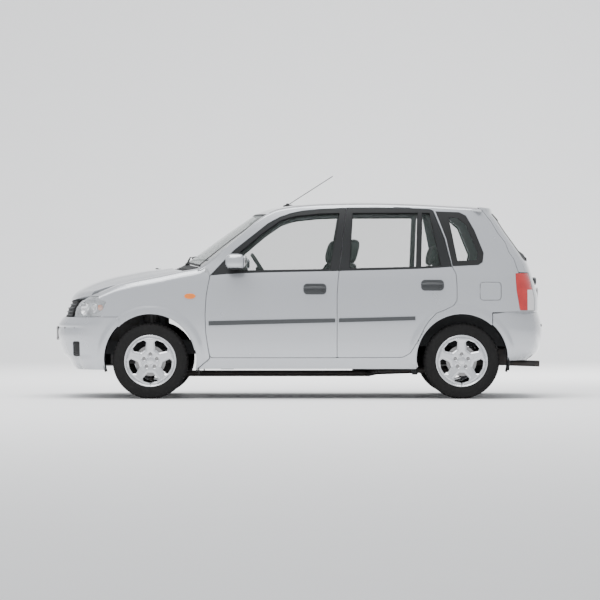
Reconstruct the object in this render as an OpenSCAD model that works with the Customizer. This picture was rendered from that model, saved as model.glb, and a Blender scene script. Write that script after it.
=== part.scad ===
// Small high-roofed five-door hatchback car.
// The front of the car points along -X, the left side along -Y and +Z is up.
// The origin is on the ground, under the middle of the car.

/* [Overall] */
// Distance from the front axle to the rear axle
wheelbase = 2390; // [2000:10:2900]
// Front axle to the front end of the bumper
front_overhang = 751; // [650:1:900]
// Rear axle to the rear end of the bumper
rear_overhang = 659; // [560:1:800]
// Width over the body sides, without the mirrors
body_w = 1670; // [1400:5:2010]
// Height of the roof
body_h = 1528; // [1450:1:1840]

/* [Wheels] */
// Outer radius of a tyre
tyre_r = 292; // [245:1:300]
// Width of a tyre
tyre_w = 175; // [150:1:210]
// Radius of the rim's outer edge
rim_r = 199; // [170:1:210]
// How far the tyre's outer face stands inside the body side
tyre_inset = 32; // [20:1:60]
// Radius of the wheel arch cut
arch_r = 355; // [330:1:370]
// Radius of the brake disc
disc_r = 118; // [100:1:140]
// Radius of the stub axle
stub_r = 20; // [16:1:28]

/* [Panels] */
// Thickness of a door's outer skin with its folded edge
skin_t = 12; // [8:1:14]
// Thickness of a whole door below the window
door_t = 85; // [70:1:102]
// Thickness of a door's window frame
frame_t = 42; // [36:1:50]
// Gap between neighbouring outer panels
panel_gap = 7; // [6:0.5:9]
// How far the door's inner box stands inside its outer edge below the window
box_inset = 45; // [40:1:52]
// The same inset around the window frame
frame_inset = 16; // [14:1:18]
// Thickness of the hood, roof and tailgate walls
lid_t = 24; // [18:1:30]
// Thickness of the bumper shells
bumper_t = 30; // [20:1:40]
// Thickness of the front fenders
fender_t = 16; // [12:1:17]
// Thickness of the window glass
glass_t = 4; // [3:0.5:6]
// Distance of the door glass behind the outer skin
glass_set = 18; // [15:1:22]

/* [Running gear] */
// Radius of a suspension strut's tube
strut_r = 25; // [20:1:30]
// Radius of the coil spring around the strut
spring_r = 58; // [48:1:64]
// Radius of the rear axle beam
beam_r = 32; // [25:1:40]
// Radius of the exhaust pipe
pipe_r = 24; // [18:1:28]
// Radius of the bore in a towing eye
tow_bore_r = 11; // [8:0.5:14]

/* [Cabin] */
// Outer radius of the steering wheel rim
steering_r = 185; // [160:1:200]
// Width of a front seat
seat_w = 500; // [440:5:540]
// Thickness of a seat back
seat_back_t = 120; // [90:5:140]

/* [Hidden] */

// A running fit between faces that nearly touch
fit = 0.3;
// A small overlap that joins two solids of one piece
weld = 2;
// How deep the door glass sits in its groove
groove_d = 9;
// Clearance of a door's inner box in the body opening
box_gap = 11;
// Depth at which the body's inner frame starts behind the skin
step_y = skin_t + 6;
// Depth of the body's inner frame
frame_y = door_t;

// Sizes of the car that the outlines below are drawn for
base_l = 2390;
base_w = 1670;
base_h = 1528;
base_front = -1149;
base_rear = 1241;
base_belt = 1000;
base_front_l = 751;
base_rear_l = 659;

// Ends of the car and its axles
half_l = (front_overhang + wheelbase + rear_overhang) / 2;
front_x = -half_l + front_overhang;
rear_x = front_x + wheelbase;
half_w = body_w / 2;
wheel_y = half_w - tyre_inset - tyre_w / 2;
rear_wheel_y = wheel_y;

// Places on the drawn car moved to the car of the sizes above
function px(x) = x < base_front ? front_x + (x - base_front) * front_overhang / base_front_l
    : x > base_rear ? rear_x + (x - base_rear) * rear_overhang / base_rear_l
    : front_x + (x - base_front) * wheelbase / base_l;
function py(y) = y * body_w / base_w;
function pz(z) = z < base_belt ? z : base_belt + (z - base_belt) * (body_h - base_belt) / (base_h - base_belt);
function moved(points) = [for (p = points) [px(p[0]), pz(p[1])]];

function mix(a, b, t) = a + (b - a) * t;
function unit(v) = v / max(norm(v), 0.000001);
function mean(a, b) = (a + b) / 2;
function steps(n) = [for (i = [0 : n]) i / n];
function joined(lists) = [for (l = lists) for (e = l) e];

// Half width of the body in plan, and how far the side leans in at each height
function plan_y(x) = base_w / 2 - 5 - 40 * pow(abs(x - 200) / 1700, 2.5);
side_lean = [[190, 48], [260, 28], [330, 14], [450, 4], [600, 0], [750, 4], [860, 12], [930, 22],
    [980, 34], [1040, 50], [1465, 170], [1490, 190], [1505, 225]];
function lean(z) = lookup(z, side_lean);
function side_y(x, z) = plan_y(x) - lean(z);

// Upper edge of the side, where hood, windscreen and roof begin
edge_z = [[-1620, 790], [-1548, 820], [-1389, 881], [-1060, 948], [-902, 980], [-787, 1001],
    [-520, 1210], [-248, 1423], [-160, 1458], [0, 1482], [192, 1494], [532, 1499], [872, 1491],
    [1145, 1477], [1416, 1460], [1505, 1440]];
edge_y = [[-1620, 632], [-1548, 648], [-1389, 672], [-1060, 700], [-902, 712], [-787, 716],
    [-520, 668], [-248, 620], [0, 604], [532, 600], [1145, 590], [1416, 572], [1505, 560]];
// Centre line of the roof and of the rear end
roof_z = [[-351, 1433], [-263, 1467], [-99, 1497], [0, 1509], [192, 1522], [532, 1528],
    [872, 1519], [1145, 1506], [1416, 1489], [1505, 1469]];
rear_line = [[660, 1866], [758, 1866], [863, 1845], [975, 1811], [1034, 1791], [1094, 1757],
    [1192, 1689], [1285, 1621], [1390, 1552], [1442, 1512], [1469, 1505], [1480, 1450], [1489, 1396]];

// ---- Shells from a grid of points: rows and columns turn so that the normal points out ----
function grid_normal(g, i, j) = let (n = len(g) - 1, m = len(g[0]) - 1,
    du = g[min(i + 1, n)][j] - g[max(i - 1, 0)][j],
    dv = g[i][min(j + 1, m)] - g[i][max(j - 1, 0)]) unit(cross(du, dv));
function pushed(g, t) = [for (i = [0 : len(g) - 1]) [for (j = [0 : len(g[0]) - 1])
    g[i][j] - t * grid_normal(g, i, j)]];
function placed(g) = [for (r = g) [for (p = r) [px(p[0]), py(p[1]), pz(p[2])]]];
function quad(a, b, c, d) = [[a, d, c], [a, c, b]];
module between(outer, inner) {
    n = len(outer);
    m = len(outer[0]);
    k = n * m;
    function at(i, j) = i * m + j;
    top = joined([for (i = [0 : n - 2]) for (j = [0 : m - 2])
        quad(at(i, j), at(i + 1, j), at(i + 1, j + 1), at(i, j + 1))]);
    low = joined([for (i = [0 : n - 2]) for (j = [0 : m - 2])
        quad(k + at(i, j + 1), k + at(i + 1, j + 1), k + at(i + 1, j), k + at(i, j))]);
    ends_i = joined([for (j = [0 : m - 2]) concat(
        quad(at(0, j), at(0, j + 1), k + at(0, j + 1), k + at(0, j)),
        quad(at(n - 1, j + 1), at(n - 1, j), k + at(n - 1, j), k + at(n - 1, j + 1)))]);
    ends_j = joined([for (i = [0 : n - 2]) concat(
        quad(at(i + 1, 0), at(i, 0), k + at(i, 0), k + at(i + 1, 0)),
        quad(at(i, m - 1), at(i + 1, m - 1), k + at(i + 1, m - 1), k + at(i, m - 1)))]);
    polyhedron(points = concat(joined(outer), joined(inner)), faces = concat(top, low, ends_i, ends_j),
        convexity = 6);
}
module shell(g, t) {
    between(g, pushed(g, t));
}
// A prism across the car through an outline drawn from the side
module across(points, y0, y1) {
    translate([0, y1, 0]) rotate([90, 0, 0]) linear_extrude(y1 - y0) polygon(points);
}
module both() {
    children();
    mirror([0, 1, 0]) children();
}
module left() {
    mirror([0, 1, 0]) children();
}
// A box from one corner to the other
module block(low, high) {
    translate(low) cube(high - low);
}
// A round bar between two points
module bar(a, b, r, sides = 32) {
    d = b - a;
    l = norm(d);
    turn = [0, acos(d[2] / l), atan2(d[1], d[0])];
    translate(a) rotate(turn) cylinder(h = l, r = r, $fn = sides);
}

// ---- Outlines drawn from the side ----
front_door_line = [[-688, 330], [-706, 420], [-720, 520], [-724, 650], [-716, 790], [-700, 880],
    [-686, 945], [-507, 1136], [-331, 1276], [-243, 1346], [-155, 1394], [-70, 1424], [21, 1443],
    [160, 1457], [354, 1465], [298, 984], [290, 930], [281, 800], [281, 320], [-676, 320]];
rear_door_line = [[288, 320], [288, 800], [297, 930], [305, 984], [363, 1466], [582, 1468], [845, 1463],
    [1003, 1454], [1025, 1443], [1109, 1232], [1162, 1021], [1195, 955], [1201, 863], [1201, 758],
    [1175, 718], [1120, 690], [1043, 659], [990, 605], [950, 546], [898, 442], [845, 356], [810, 335],
    [779, 322]];
front_window_line = [[-475, 984], [-463, 1127], [-287, 1276], [-155, 1368], [-80, 1394], [-24, 1407],
    [152, 1425], [306, 1430], [233, 996]];
rear_window_line = [[377, 1001], [404, 1430], [908, 1431], [895, 1013]];
vent_window_line = [[926, 1014], [939, 1431], [1000, 1428], [1086, 1020]];
// Corners of the rear side window: place and corner radius
quarter_corners = [[1150, 1385, 20], [1205, 1385, 20], [1262, 1335, 25], [1350, 1120, 28], [1340, 1080, 30],
    [1225, 1075, 30]];
tail_line = [[1396, 1500], [1388, 1481], [1478, 1364], [1527, 1277], [1583, 1205], [1611, 1128],
    [1649, 1074], [1681, 973], [1764, 972], [1791, 863], [1811, 758], [1808, 676], [1950, 676],
    [1950, 1500]];
lamp_line = [[1656, 962], [1663, 836], [1689, 681], [1800, 681], [1803, 758], [1783, 863], [1757, 964]];
fender_low_line = [[-1650, 720], [-1548, 762], [-1389, 823], [-1060, 890], [-902, 922], [-787, 943],
    [-680, 950], [-680, 150], [-1650, 150]];
fender_rear_line = [[-1620, 630.3], [-1395, 630.3], [-1395, 300], [-1300, 200], [-795, 231], [-695, 314],
    [-713, 420], [-727, 520], [-731, 650], [-723, 790], [-707, 880], [-694, 944], [-724, 1012],
    [-902, 1080], [-1620, 1080]];

// ---- Surfaces of the body ----
// The right flank between two depths behind the skin, from x0 to x1
module flank(x0, x1, a, b, n = 6) {
    xs = [for (t = steps(n)) mix(x0, x1, t)];
    rows = [for (p = side_lean) if (p[0] < 1500) p[0]];
    function layer(d) = [for (z = rows) [for (x = xs) [px(x), py(side_y(x, z)) - d, pz(z)]]];
    between(layer(a), layer(b));
}
// The side wall's rolled upper edge from x0 to x1: a quarter turn up to the hood or roof
module rail(x0, x1, drop, t, n = 6) {
    g = [for (s = steps(4)) [for (u = steps(n))
        let (x = mix(x0, x1, u), ze = lookup(x, edge_z), ye = lookup(x, edge_y), zl = ze - drop,
            yl = side_y(x, zl) + 1.5, yc = yl - 6, q = 1 - s)
        [px(x), py(q * q * yl + 2 * q * s * yc + s * s * ye), pz(q * q * zl + 2 * q * s * (ze - 3) + s * s * ze)]]];
    shell(g, t);
}
// Plan curve of the rear corner from the side to the middle, with the share of the rear's lean
rear_plan = [[1240, 811.5, 0], [1400, 810, 0.3], [1500, 806, 0.5], [1600, 799, 0.75], [1690, 780, 0.92],
    [1745, 750, 1], [1785, 705, 1], [1812, 645, 1], [1833, 560, 1], [1850, 420, 1], [1862, 220, 1],
    [1866, 0, 1]];
function rear_point(p, z) = [p[0] + p[2] * (lookup(z, rear_line) - 1866), p[1] * (1 - lean(z) / 830), z];
rear_rows = [660, 758, 863, 930, 975, 1034, 1094, 1192, 1285, 1390, 1442, 1469, 1480, 1489];
module rear_wrap(from, to, t) {
    g = [for (z = rear_rows) [for (i = [from : to]) rear_point(rear_plan[i], z)]];
    shell(placed(g), t);
}

// Wheel-arch cut across one side
module arch(x, r = arch_r) {
    hull() {
        for (y = [500, 1100]) translate([x, y, 305]) rotate([-90, 0, 0]) cylinder(h = 1, r = r, $fn = 64);
    }
}
module arches(r = arch_r) {
    arch(front_x, r);
    arch(rear_x, r);
}
module grown(points, d, y0 = 400, y1 = 1000) {
    translate([0, y1, 0]) rotate([90, 0, 0]) linear_extrude(y1 - y0) offset(delta = d) polygon(moved(points));
}

// ---- Body side ----
// The fixed leaf of a door hinge, between the pillar and the front of the door's inner box
module hinge_leaf(x, z) {
    y = py(side_y(x, z)) - skin_t - 45;
    hull() {
        for (dz = [-20, 20]) translate([px(x) - 24, y, z + dz]) rotate([0, 90, 0])
            cylinder(h = 24 - fit, r = 14, $fn = 16);
    }
}
// The rounded opening of the rear side window
module quarter_shape(d = 0) {
    translate([0, 1000, 0]) rotate([90, 0, 0]) linear_extrude(600) hull() {
        for (p = quarter_corners) translate([px(p[0]), pz(p[1])]) circle(r = p[2] + d, $fn = 24);
    }
}
// The fixed leaf of the fuel flap's hinge
module flap_leaf() {
    x = mix(px(flap_low[0]), px(mean(flap_low[0], flap_high[0])), 0.3) - 24 - fit;
    hull() {
        for (z = [815, 838]) translate([x - 8, py(side_y(flap_low[0], z)) - 14, z]) rotate([0, 90, 0])
            cylinder(h = 8, r = 14, $fn = 12);
    }
}
// The rounded outline of the fuel flap
module flap_shape(d = 0) {
    translate([0, 1000, 0]) rotate([90, 0, 0]) linear_extrude(1000 - py(765)) hull() {
        for (x = [flap_low[0], flap_high[0]]) for (z = [flap_low[1], flap_high[1]])
            translate([mix(px(x), px(mean(flap_low[0], flap_high[0])), 0.3), mix(z, mean(flap_low[1], flap_high[1]), 0.35)])
                circle(r = 24 + d, $fn = 24);
    }
}
pillar_foot = [[-800, 1600], [-800, 960], [-686, 940], [-787, 990]];
// A line at a depth under the upper edge of the side, closed above the roof
function under_edge(d) = moved(concat([for (p = edge_z) if (p[0] > -600 && p[0] < 1300) [p[0], p[1] - d]],
    [[1290, lookup(1290, edge_z) - d], [1290, 1600]]));
module door_openings() {
    for (line = [front_door_line, rear_door_line]) {
        grown(line, box_gap - box_inset);
        intersection() {
            grown(line, box_gap - frame_inset);
            translate([-half_l, 0, pz(985) - box_gap]) cube([2 * half_l, 1000, 1000]);
        }
    }
}
module below_sill() {
    translate([px(-800), 300, 231 - 100]) cube([px(1300) - px(-800), 700, 100]);
}
front_cut = [[-870, 1600], [-870, 160], [-789, 230], [-688, 313], [-715, 650], [-692, 948], [-787, 990]];
// What the doors and the fender cover, cut into the side to the depth of the door's skin
module step_cut() {
    intersection() {
        union() {
            grown(front_door_line, panel_gap);
            grown(rear_door_line, panel_gap);
            across(concat(moved(front_cut), under_edge(10)), 400, 1000);
        }
        flank(-880, 1290, -40, step_y, 8);
    }
}
module side_frame() {
    difference() {
        union() {
            difference() {
                flank(-790, 1276, 0, frame_y, 8);
                door_openings();
                below_sill();
                step_cut();
                across(concat(moved(pillar_foot), under_edge(10)), 400, 1000);
                both() shell(roof_grid(fit), lid_t + fit);
            }
            rail(-787, 1400, 20, 26, 12);
            difference() {
                rear_wrap(0, 8, 63);
                grown(tail_line, panel_gap);
                grown(lamp_line, fit);
                quarter_shape();
                translate([px(1200), 300, 0]) cube([px(1950) - px(1200), 700, 664.3]);
                across(moved([[1200, 1461], [1400, 1450], [1400, 1600], [1200, 1600]]), 400, 1000);
                translate([px(1200), 0, pz(1370)]) cube([px(1400) - px(1200), py(568), 300]);
            }
            difference() {
                flank(1236, 1474, 0, 57, 3);
                across(moved([[1220, 675], [1700, 675], [1700, 1600], [1220, 1600]]), 400, 1000);
            }
        }
        arches();
        quarter_shape();
        flap_shape(flap_gap);
    }
    flap_leaf();
    hinge_leaf(-677, 560);
    hinge_leaf(-674, 780);
    hinge_leaf(333, 450);
    hinge_leaf(333, 780);
}
module side_frame_left() {
    color("silver") left() side_frame();
}
module side_frame_right() {
    color("silver") side_frame();
}

// Grid of the roof, its sides moved out by d
function roof_grid(d) = let (xs = [-351, -263, -160, 0, 192, 532, 872, 1145, 1381],
    ws = [-1, -0.85, -0.6, -0.3, 0, 0.3, 0.6, 0.85, 1])
    placed([for (x = xs) [for (w = ws) let (front = max(0, 1 - (x + 351) / 350),
        xx = x + 104 * w * w * front, ye = lookup(xx, edge_y) - 16 + d, ze = lookup(xx, edge_z))
        [xx, w * ye, mix(lookup(x, roof_z), ze, pow(abs(w), 2.2))]]]);
module roof_panel() {
    color("silver") {
        shell(roof_grid(0), lid_t);
        for (s = [-1, 1]) block([px(1365), s * 350 - 15, pz(1462)], [px(1388) - fit, s * 350 + 15, pz(1480)]);
    }
}

module front_fender() {
    difference() {
        intersection() {
            union() {
                intersection() {
                    flank(-1620, -690, 0, fender_t, 6);
                    across(moved(fender_low_line), 400, 1000);
                }
                rail(-1620, -791, 60, fender_t, 8);
            }
            across(moved(fender_rear_line), 400, 1000);
        }
        across(moved([[-1700, 788], [-1480, 788], [-1480, 748], [-1532, 620], [-1700, 600]]), 600, 1000);
        arch(front_x);
    }
}
module front_fenders() {
    color("silver") both() front_fender();
}

// ---- Hood, bumpers and lamps ----
hood_line = [[0, -1806, 759], [0.025, -1787, 796], [0.1, -1724, 844], [0.27, -1598, 905], [0.43, -1472, 942],
    [0.6, -1346, 969], [0.76, -1220, 991], [0.92, -1094, 1003], [1, -1031, 1010]];
hood_drop = [[0, -38], [0.1, 0], [0.3, 31], [0.55, 44], [0.77, 45], [1, 26]];
module hood() {
    ws = [-1, -0.9, -0.7, -0.45, 0, 0.45, 0.7, 0.9, 1];
    g = [for (p = hood_line) [for (w = ws) let (u = p[0], a = pow(abs(w), 2.4),
        x = mix(-1806 + 196 * a, -1031 + 125 * a, u), ye = lookup(x, edge_y) - 7)
        [x, w * ye, p[2] - lookup(u, hood_drop) * a - 2]]];
    color("silver") shell(placed(g), lid_t);
}

front_plan = [[-1491, 797], [-1560, 785], [-1640, 757], [-1740, 690], [-1820, 580], [-1870, 430], [-1893, 240],
    [-1900, 0]];
front_nose = [[223, 150], [253, 120], [308, 84], [344, 40], [420, 12], [500, 0], [564, 0], [600, 20], [626, 42]];
rear_bumper_plan = [[1480, 806], [1530, 803], [1600, 799], [1690, 778], [1760, 735], [1825, 630], [1872, 450], [1893, 240],
    [1900, 0]];
rear_nose = [[296, 130], [323, 76], [363, 33], [413, 12], [530, 0], [586, 7], [640, 25], [664, 34]];
// Point of a bumper: the plan curve drawn in by the nose profile or by the lean of the side
function bumper_point(p, z, nose) = let (w = pow(min(1, max(0, (abs(p[0]) - 1500) / 250)), 1.5),
    a = mix(lean(z), lookup(z, nose), w), side = abs(p[1]) / 800)
    [p[0] - sign(p[0]) * a * (1 - pow(side, 3) * 0.8), p[1] - sign(p[1]) * a * pow(side, 2), z];
function mirrored(plan) = concat(plan, [for (i = [len(plan) - 2 : -1 : 0]) [plan[i][0], -plan[i][1]]]);
module front_bumper() {
    plan = [for (p = mirrored(front_plan)) [p[0], -p[1]]];
    g = [for (r = front_nose) [for (p = plan) bumper_point(p, r[0], front_nose)]];
    color("silver") difference() {
        union() {
            shell(placed(g), bumper_t);
            both() intersection() {
                flank(-1560, -1380, 0, bumper_t, 2);
                across(moved([[-1520, 223], [-1396, 223], [-1396, 630], [-1500, 630], [-1520, 626]]), 500, 1000);
            }
        }
        both() arch(front_x);
        block([px(-1950), -430, 344], [px(-1840), 430, 372]);
        block([px(-1950), -430, 388], [px(-1840), 430, 416]);
        block([px(-1950), -430, 428], [px(-1840), 430, 448]);
    }
}
module rear_bumper() {
    plan = mirrored(rear_bumper_plan);
    g = [for (r = rear_nose) [for (p = plan) bumper_point(p, r[0], rear_nose)]];
    color("silver") difference() {
        shell(placed(g), bumper_t);
        both() arch(rear_x);
    }
}
fascia_plan = [[-1840, 0], [-1832, 200], [-1806, 340], [-1762, 462], [-1752, 482], [-1700, 590], [-1620, 690],
    [-1540, 752], [-1490, 778]];
fascia_lean = [[632, 0], [704, 15], [745, 40], [765, 48]];
module grille() {
    g = [for (r = fascia_lean) [for (i = [-3 : 3]) let (p = fascia_plan[abs(i)])
        [p[0] + r[1], sign(i) * p[1], mix(622, 744, (r[0] - 632) / 133)]]];
    color("dimgray") difference() {
        shell(placed(g), 25);
        block([-2 * half_l, -half_w, 500], [0, half_w, 626 + fit]);
    }
}
module headlights() {
    g = [for (r = fascia_lean) [for (i = [4 : 7]) let (p = fascia_plan[i])
        [p[0] + r[1], p[1] - 0.2 * r[1], mix(622, 752, (r[0] - 632) / 133)]]];
    color("gainsboro") both() difference() {
        shell(placed(g), 60);
        block([-2 * half_l, 0, 500], [0, half_w, 626 + fit]);
    }
}
module tail_lights() {
    color("firebrick") both() intersection() {
        rear_wrap(2, 9, 50);
        grown(lamp_line, 0);
    }
}

// ---- Tailgate ----
module tailgate_shape(t) {
    g = [for (z = rear_rows) [for (i = [2 : 20]) let (k = i <= 11 ? i : 22 - i, p = rear_plan[k],
        q = rear_point(p, z)) [q[0], i <= 11 ? q[1] : -q[1], q[2]]]];
    shell(placed(g), t);
}
rear_window_low = 1075;
rear_window_high = 1415;
module rear_window_hole(d) {
    translate([px(1400), 0, 0]) rotate([90, 0, 90]) linear_extrude(600) offset(delta = d)
        polygon([[-560, rear_window_low], [560, rear_window_low], [480, pz(rear_window_high)],
            [-480, pz(rear_window_high)]]);
}
module tailgate() {
    color("silver") difference() {
        intersection() {
            tailgate_shape(frame_t);
            translate([0, 1000, 0]) rotate([90, 0, 0]) linear_extrude(2000) polygon(moved(tail_line));
        }
        rear_window_hole(0);
        intersection() {
            difference() {
                tailgate_shape(10 + glass_t + 2 * fit);
                tailgate_shape(10);
            }
            rear_window_hole(14);
        }
    }
}
module tailgate_glass() {
    color("lightslategray") intersection() {
        difference() {
            tailgate_shape(10 + fit + glass_t);
            tailgate_shape(10 + fit);
        }
        rear_window_hole(13.6);
    }
}

// ---- Glass of the body ----
module windscreen() {
    g = [for (u = steps(4)) [for (w = [-1 : 0.25 : 1]) let (a = w * w)
        [mix(-894 + 113 * a, -356 + 104 * a, u), w * mix(707, 613, u), mix(1046 - 31 * a, 1431 - 9 * a, u)]]];
    color("lightslategray") shell(placed(g), glass_t + 2);
}
module quarter_windows() {
    color("lightslategray") both() intersection() {
        rear_wrap(0, 4, glass_t + 2);
        quarter_shape(-fit);
    }
}

// ---- Doors ----
module door(line, x0, x1) {
    difference() {
        intersection() {
            flank(x0, x1, 0, skin_t);
            grown(line, 0);
        }
        children();
    }
    difference() {
        union() {
            intersection() {
                flank(x0, x1, skin_t - 1, frame_t);
                translate([px(x0), 0, pz(985)]) cube([px(x1) - px(x0), 1000, 1000]);
                grown(line, -frame_inset);
            }
            intersection() {
                flank(x0, x1, skin_t - 1, door_t);
                translate([px(x0), 0, 0]) cube([px(x1) - px(x0), 1000, pz(985) + weld]);
                grown(line, -box_inset);
            }
        }
        children();
    }
}
module groove(line, x0, x1) {
    grown(line, 0);
    intersection() {
        flank(x0, x1, glass_set, glass_set + glass_t + 2 * fit);
        grown(line, groove_d);
    }
}
module pane(line, x0, x1) {
    intersection() {
        flank(x0, x1, glass_set + fit, glass_set + fit + glass_t);
        grown(line, groove_d - fit);
    }
}
module front_door() {
    difference() {
        door(front_door_line, -740, 370) grown(front_window_line, 0);
        groove(front_window_line, -740, 370);
    }
}
module rear_door() {
    difference() {
        door(rear_door_line, 280, 1210) {
            grown(rear_window_line, 0);
            grown(vent_window_line, 0);
        }
        groove(rear_window_line, 280, 1210);
        groove(vent_window_line, 280, 1210);
    }
}
module rear_panes() {
    intersection() {
        flank(280, 1210, glass_set + fit, glass_set + fit + glass_t);
        union() {
            grown(rear_window_line, groove_d - fit);
            grown(vent_window_line, groove_d - fit);
        }
    }
}
module front_door_left() {
    color("silver") left() front_door();
}
module front_door_right() {
    color("silver") front_door();
}
module rear_door_left() {
    color("silver") left() rear_door();
}
module rear_door_right() {
    color("silver") rear_door();
}
module front_glass_left() {
    color("lightslategray") left() pane(front_window_line, -740, 370);
}
module front_glass_right() {
    color("lightslategray") pane(front_window_line, -740, 370);
}
module rear_glass_left() {
    color("lightslategray") left() rear_panes();
}
module rear_glass_right() {
    color("lightslategray") rear_panes();
}

// ---- Small outer pieces ----
module cowl() {
    g = [for (s = [[-1024, 985], [-960, 1008], [-898, 1040]]) [for (w = [-1 : 0.25 : 1]) let (a = w * w)
        [s[0] + 118 * a, w * 690, s[1] - 30 * a]]];
    color("dimgray") {
        shell(placed(g), 20);
        for (s = [-1, 1]) block([px(-971.5), s * 480 - 12, 962], [px(-950), s * 480 + 12, 984]);
        both() block([px(-815), 630, 960 + fit], [px(-765), 668, 1000]);
    }
}
module door_mirror() {
    y = py(side_y(-500, 1000));
    x = px(-489);
    hull() {
        translate([x - 50, y + 70, 1052]) sphere(r = 42, $fn = 20);
        translate([x - 30, y + 170, 1056]) sphere(r = 38, $fn = 20);
        translate([x + 60, y + 62, 1012]) cube([20, 130, 86]);
    }
    difference() {
        hull() {
            translate([x - 10, y - 30, 1012]) cube([50, 6, 50]);
            translate([x - 30, y + 60, 1020]) cube([60, 20, 40]);
        }
        flank(-740, 370, -fit, door_t);
    }
}
module mirror_left() {
    color("silver") left() door_mirror();
}
module mirror_right() {
    color("silver") door_mirror();
}
flap_gap = 5;
flap_low = [1384, 761];
flap_high = [1541, 892];
module fuel_flap() {
    color("silver") left() {
        intersection() {
            rear_wrap(0, 4, 5);
            flap_shape();
        }
    }
}
module aerial() {
    foot = [px(-99), 0, pz(1497)];
    tip = [px(260), 0, pz(1739)];
    color("black") {
        translate(foot + [0, 0, 1]) cylinder(h = 26, r1 = 20, r2 = 9);
        bar(foot + [0, 0, 12], tip, 3);
    }
}

// ---- Cabin ----
steering_centre = [-281, -370, 966];
steering_tilt = 57.6;
module dashboard() {
    color("dimgray") {
        difference() {
            translate([0, 680, 0]) rotate([90, 0, 0]) linear_extrude(1360)
                polygon(moved([[-747.7, 620], [-747.7, 948], [-640, 978], [-520, 972], [-450, 930], [-430, 800],
                    [-470, 700], [-560, 620]]));
        }
        column = [px(steering_centre[0]), steering_centre[1], steering_centre[2]];
        d = [sin(steering_tilt), 0, cos(steering_tilt)];
        bar(column - 320 * d, column - (50 + fit) * d, 32);
    }
}
module steering_wheel() {
    translate([px(steering_centre[0]), steering_centre[1], steering_centre[2]]) rotate([0, steering_tilt, 0])
        color("black") {
            rotate_extrude($fn = 48) translate([steering_r - 15, 0]) circle(r = 15, $fn = 16);
            translate([0, 0, -50]) cylinder(h = 60, r = 55);
            for (a = [0, 90, 180]) rotate([0, 0, a + 90]) translate([-14, 45, -14]) cube([28, steering_r - 62, 14]);
        }
}
module seat(x, y, w) {
    translate([x, y - w / 2, 0]) {
        rotate([0, -3, 0]) translate([0, 0, 470]) cube([500, w, 130]);
        translate([60, 30, floor_high + fit]) cube([380, w - 60, 218]);
        translate([470, 0, 560]) rotate([0, 14, 0]) translate([0, 20, 0]) cube([seat_back_t, w - 40, 500]);
        translate([586, w / 2 - 130, 1030]) rotate([0, 8, 0]) cube([95, 260, 205]);
    }
}
module front_seats() {
    color("dimgray") {
        seat(px(-250), -360, seat_w);
        seat(px(-400), 360, seat_w);
    }
}
module rear_seat() {
    color("dimgray") {
        translate([px(560), -490, 460 + fit]) cube([px(1010) - px(560), 980, 150]);
        translate([px(880), -490, 600]) rotate([0, 14, 0]) cube([110, 980, 440]);
        for (y = [-400, 150]) translate([px(1000), y, 1024]) rotate([0, 8, 0]) cube([60, 250, 160]);
    }
}

// ---- Running gear ----
knuckle_y = wheel_y - 35;
strut_top_y = wheel_y - 168;
pin_low = [front_x, knuckle_y, 150];
pin_high = [front_x, strut_top_y, 800];
hub_face = 40;
hub_t = 22;
ball_r = 10;
pin_dir = unit(pin_high - pin_low);
module engine_block() {
    color("dimgray") block([front_x - 330, -330, 262 + fit], [front_x + 60, 330, 800]);
}
module front_subframe() {
    color("dimgray") {
        block([front_x - 40, -330, 205], [front_x + 230, 330, 262]);
        both() {
            difference() {
                union() {
                    hull() {
                        translate([front_x, knuckle_y - 40, 142]) cylinder(h = 16, r = 20);
                        block([front_x - 30, 300, 210], [front_x + 30, 330, 240]);
                    }
                    translate([front_x, knuckle_y, 142]) cylinder(h = 16, r = 22);
                    block([front_x - 18, knuckle_y - 40, 142], [front_x + 18, knuckle_y, 158]);
                }
                translate([front_x, knuckle_y, 150]) cylinder(h = 60, r = ball_r + 2 * fit, center = true);
            }
            block([front_x + 190, 300, 225], [front_x + 230, 460, 262]);
            block([front_x + 190, 392, 261], [front_x + 230, 448, 340 - fit]);
        }
    }
}
module front_knuckle() {
    color("dimgray") {
        translate([front_x, knuckle_y - 60, tyre_r]) rotate([-90, 0, 0])
            cylinder(h = wheel_y + hub_face - hub_t - fit - knuckle_y + 60, r = 52);
        block([front_x - 30, knuckle_y - 50, 205], [front_x + 30, knuckle_y + 8, 380]);
        bar(pin_low, pin_low + 70 * pin_dir, 7);
        translate(pin_low) sphere(r = ball_r, $fn = 32);
        translate([front_x, wheel_y, tyre_r]) rotate([-90, 0, 0]) translate([0, 0, -60]) cylinder(h = 110, r = stub_r);
        bar([front_x, knuckle_y - 60, 340], [front_x, strut_top_y - 2, 820], strut_r);
        bar([front_x, strut_top_y - 18, 590], [front_x, strut_top_y - 5, 760], spring_r);
    }
}
module front_knuckle_left() {
    left() front_knuckle();
}
module front_knuckle_right() {
    front_knuckle();
}
module rear_axle() {
    color("dimgray") {
        bar([rear_x - 190, -480, 292], [rear_x - 190, 480, 292], beam_r);
        both() {
            block([rear_x - 215, 470, 260], [rear_x + 40, 540, 324]);
            translate([rear_x, 500, tyre_r]) rotate([-90, 0, 0])
                cylinder(h = wheel_y - 500 + hub_face - hub_t - fit, r = 55);
            translate([rear_x, 500, tyre_r]) rotate([-90, 0, 0]) cylinder(h = wheel_y - 500 + 50, r = stub_r);
            translate([rear_x - 50, 440, 290]) cylinder(h = 146 - fit, r = spring_r);
            block([rear_x - 110, 400, 276], [rear_x + 20, 480, 300]);
        }
    }
}
module fuel_tank() {
    color("dimgray") block([px(420), 10, 180], [px(860), 480, floor_low - fit]);
}
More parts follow.
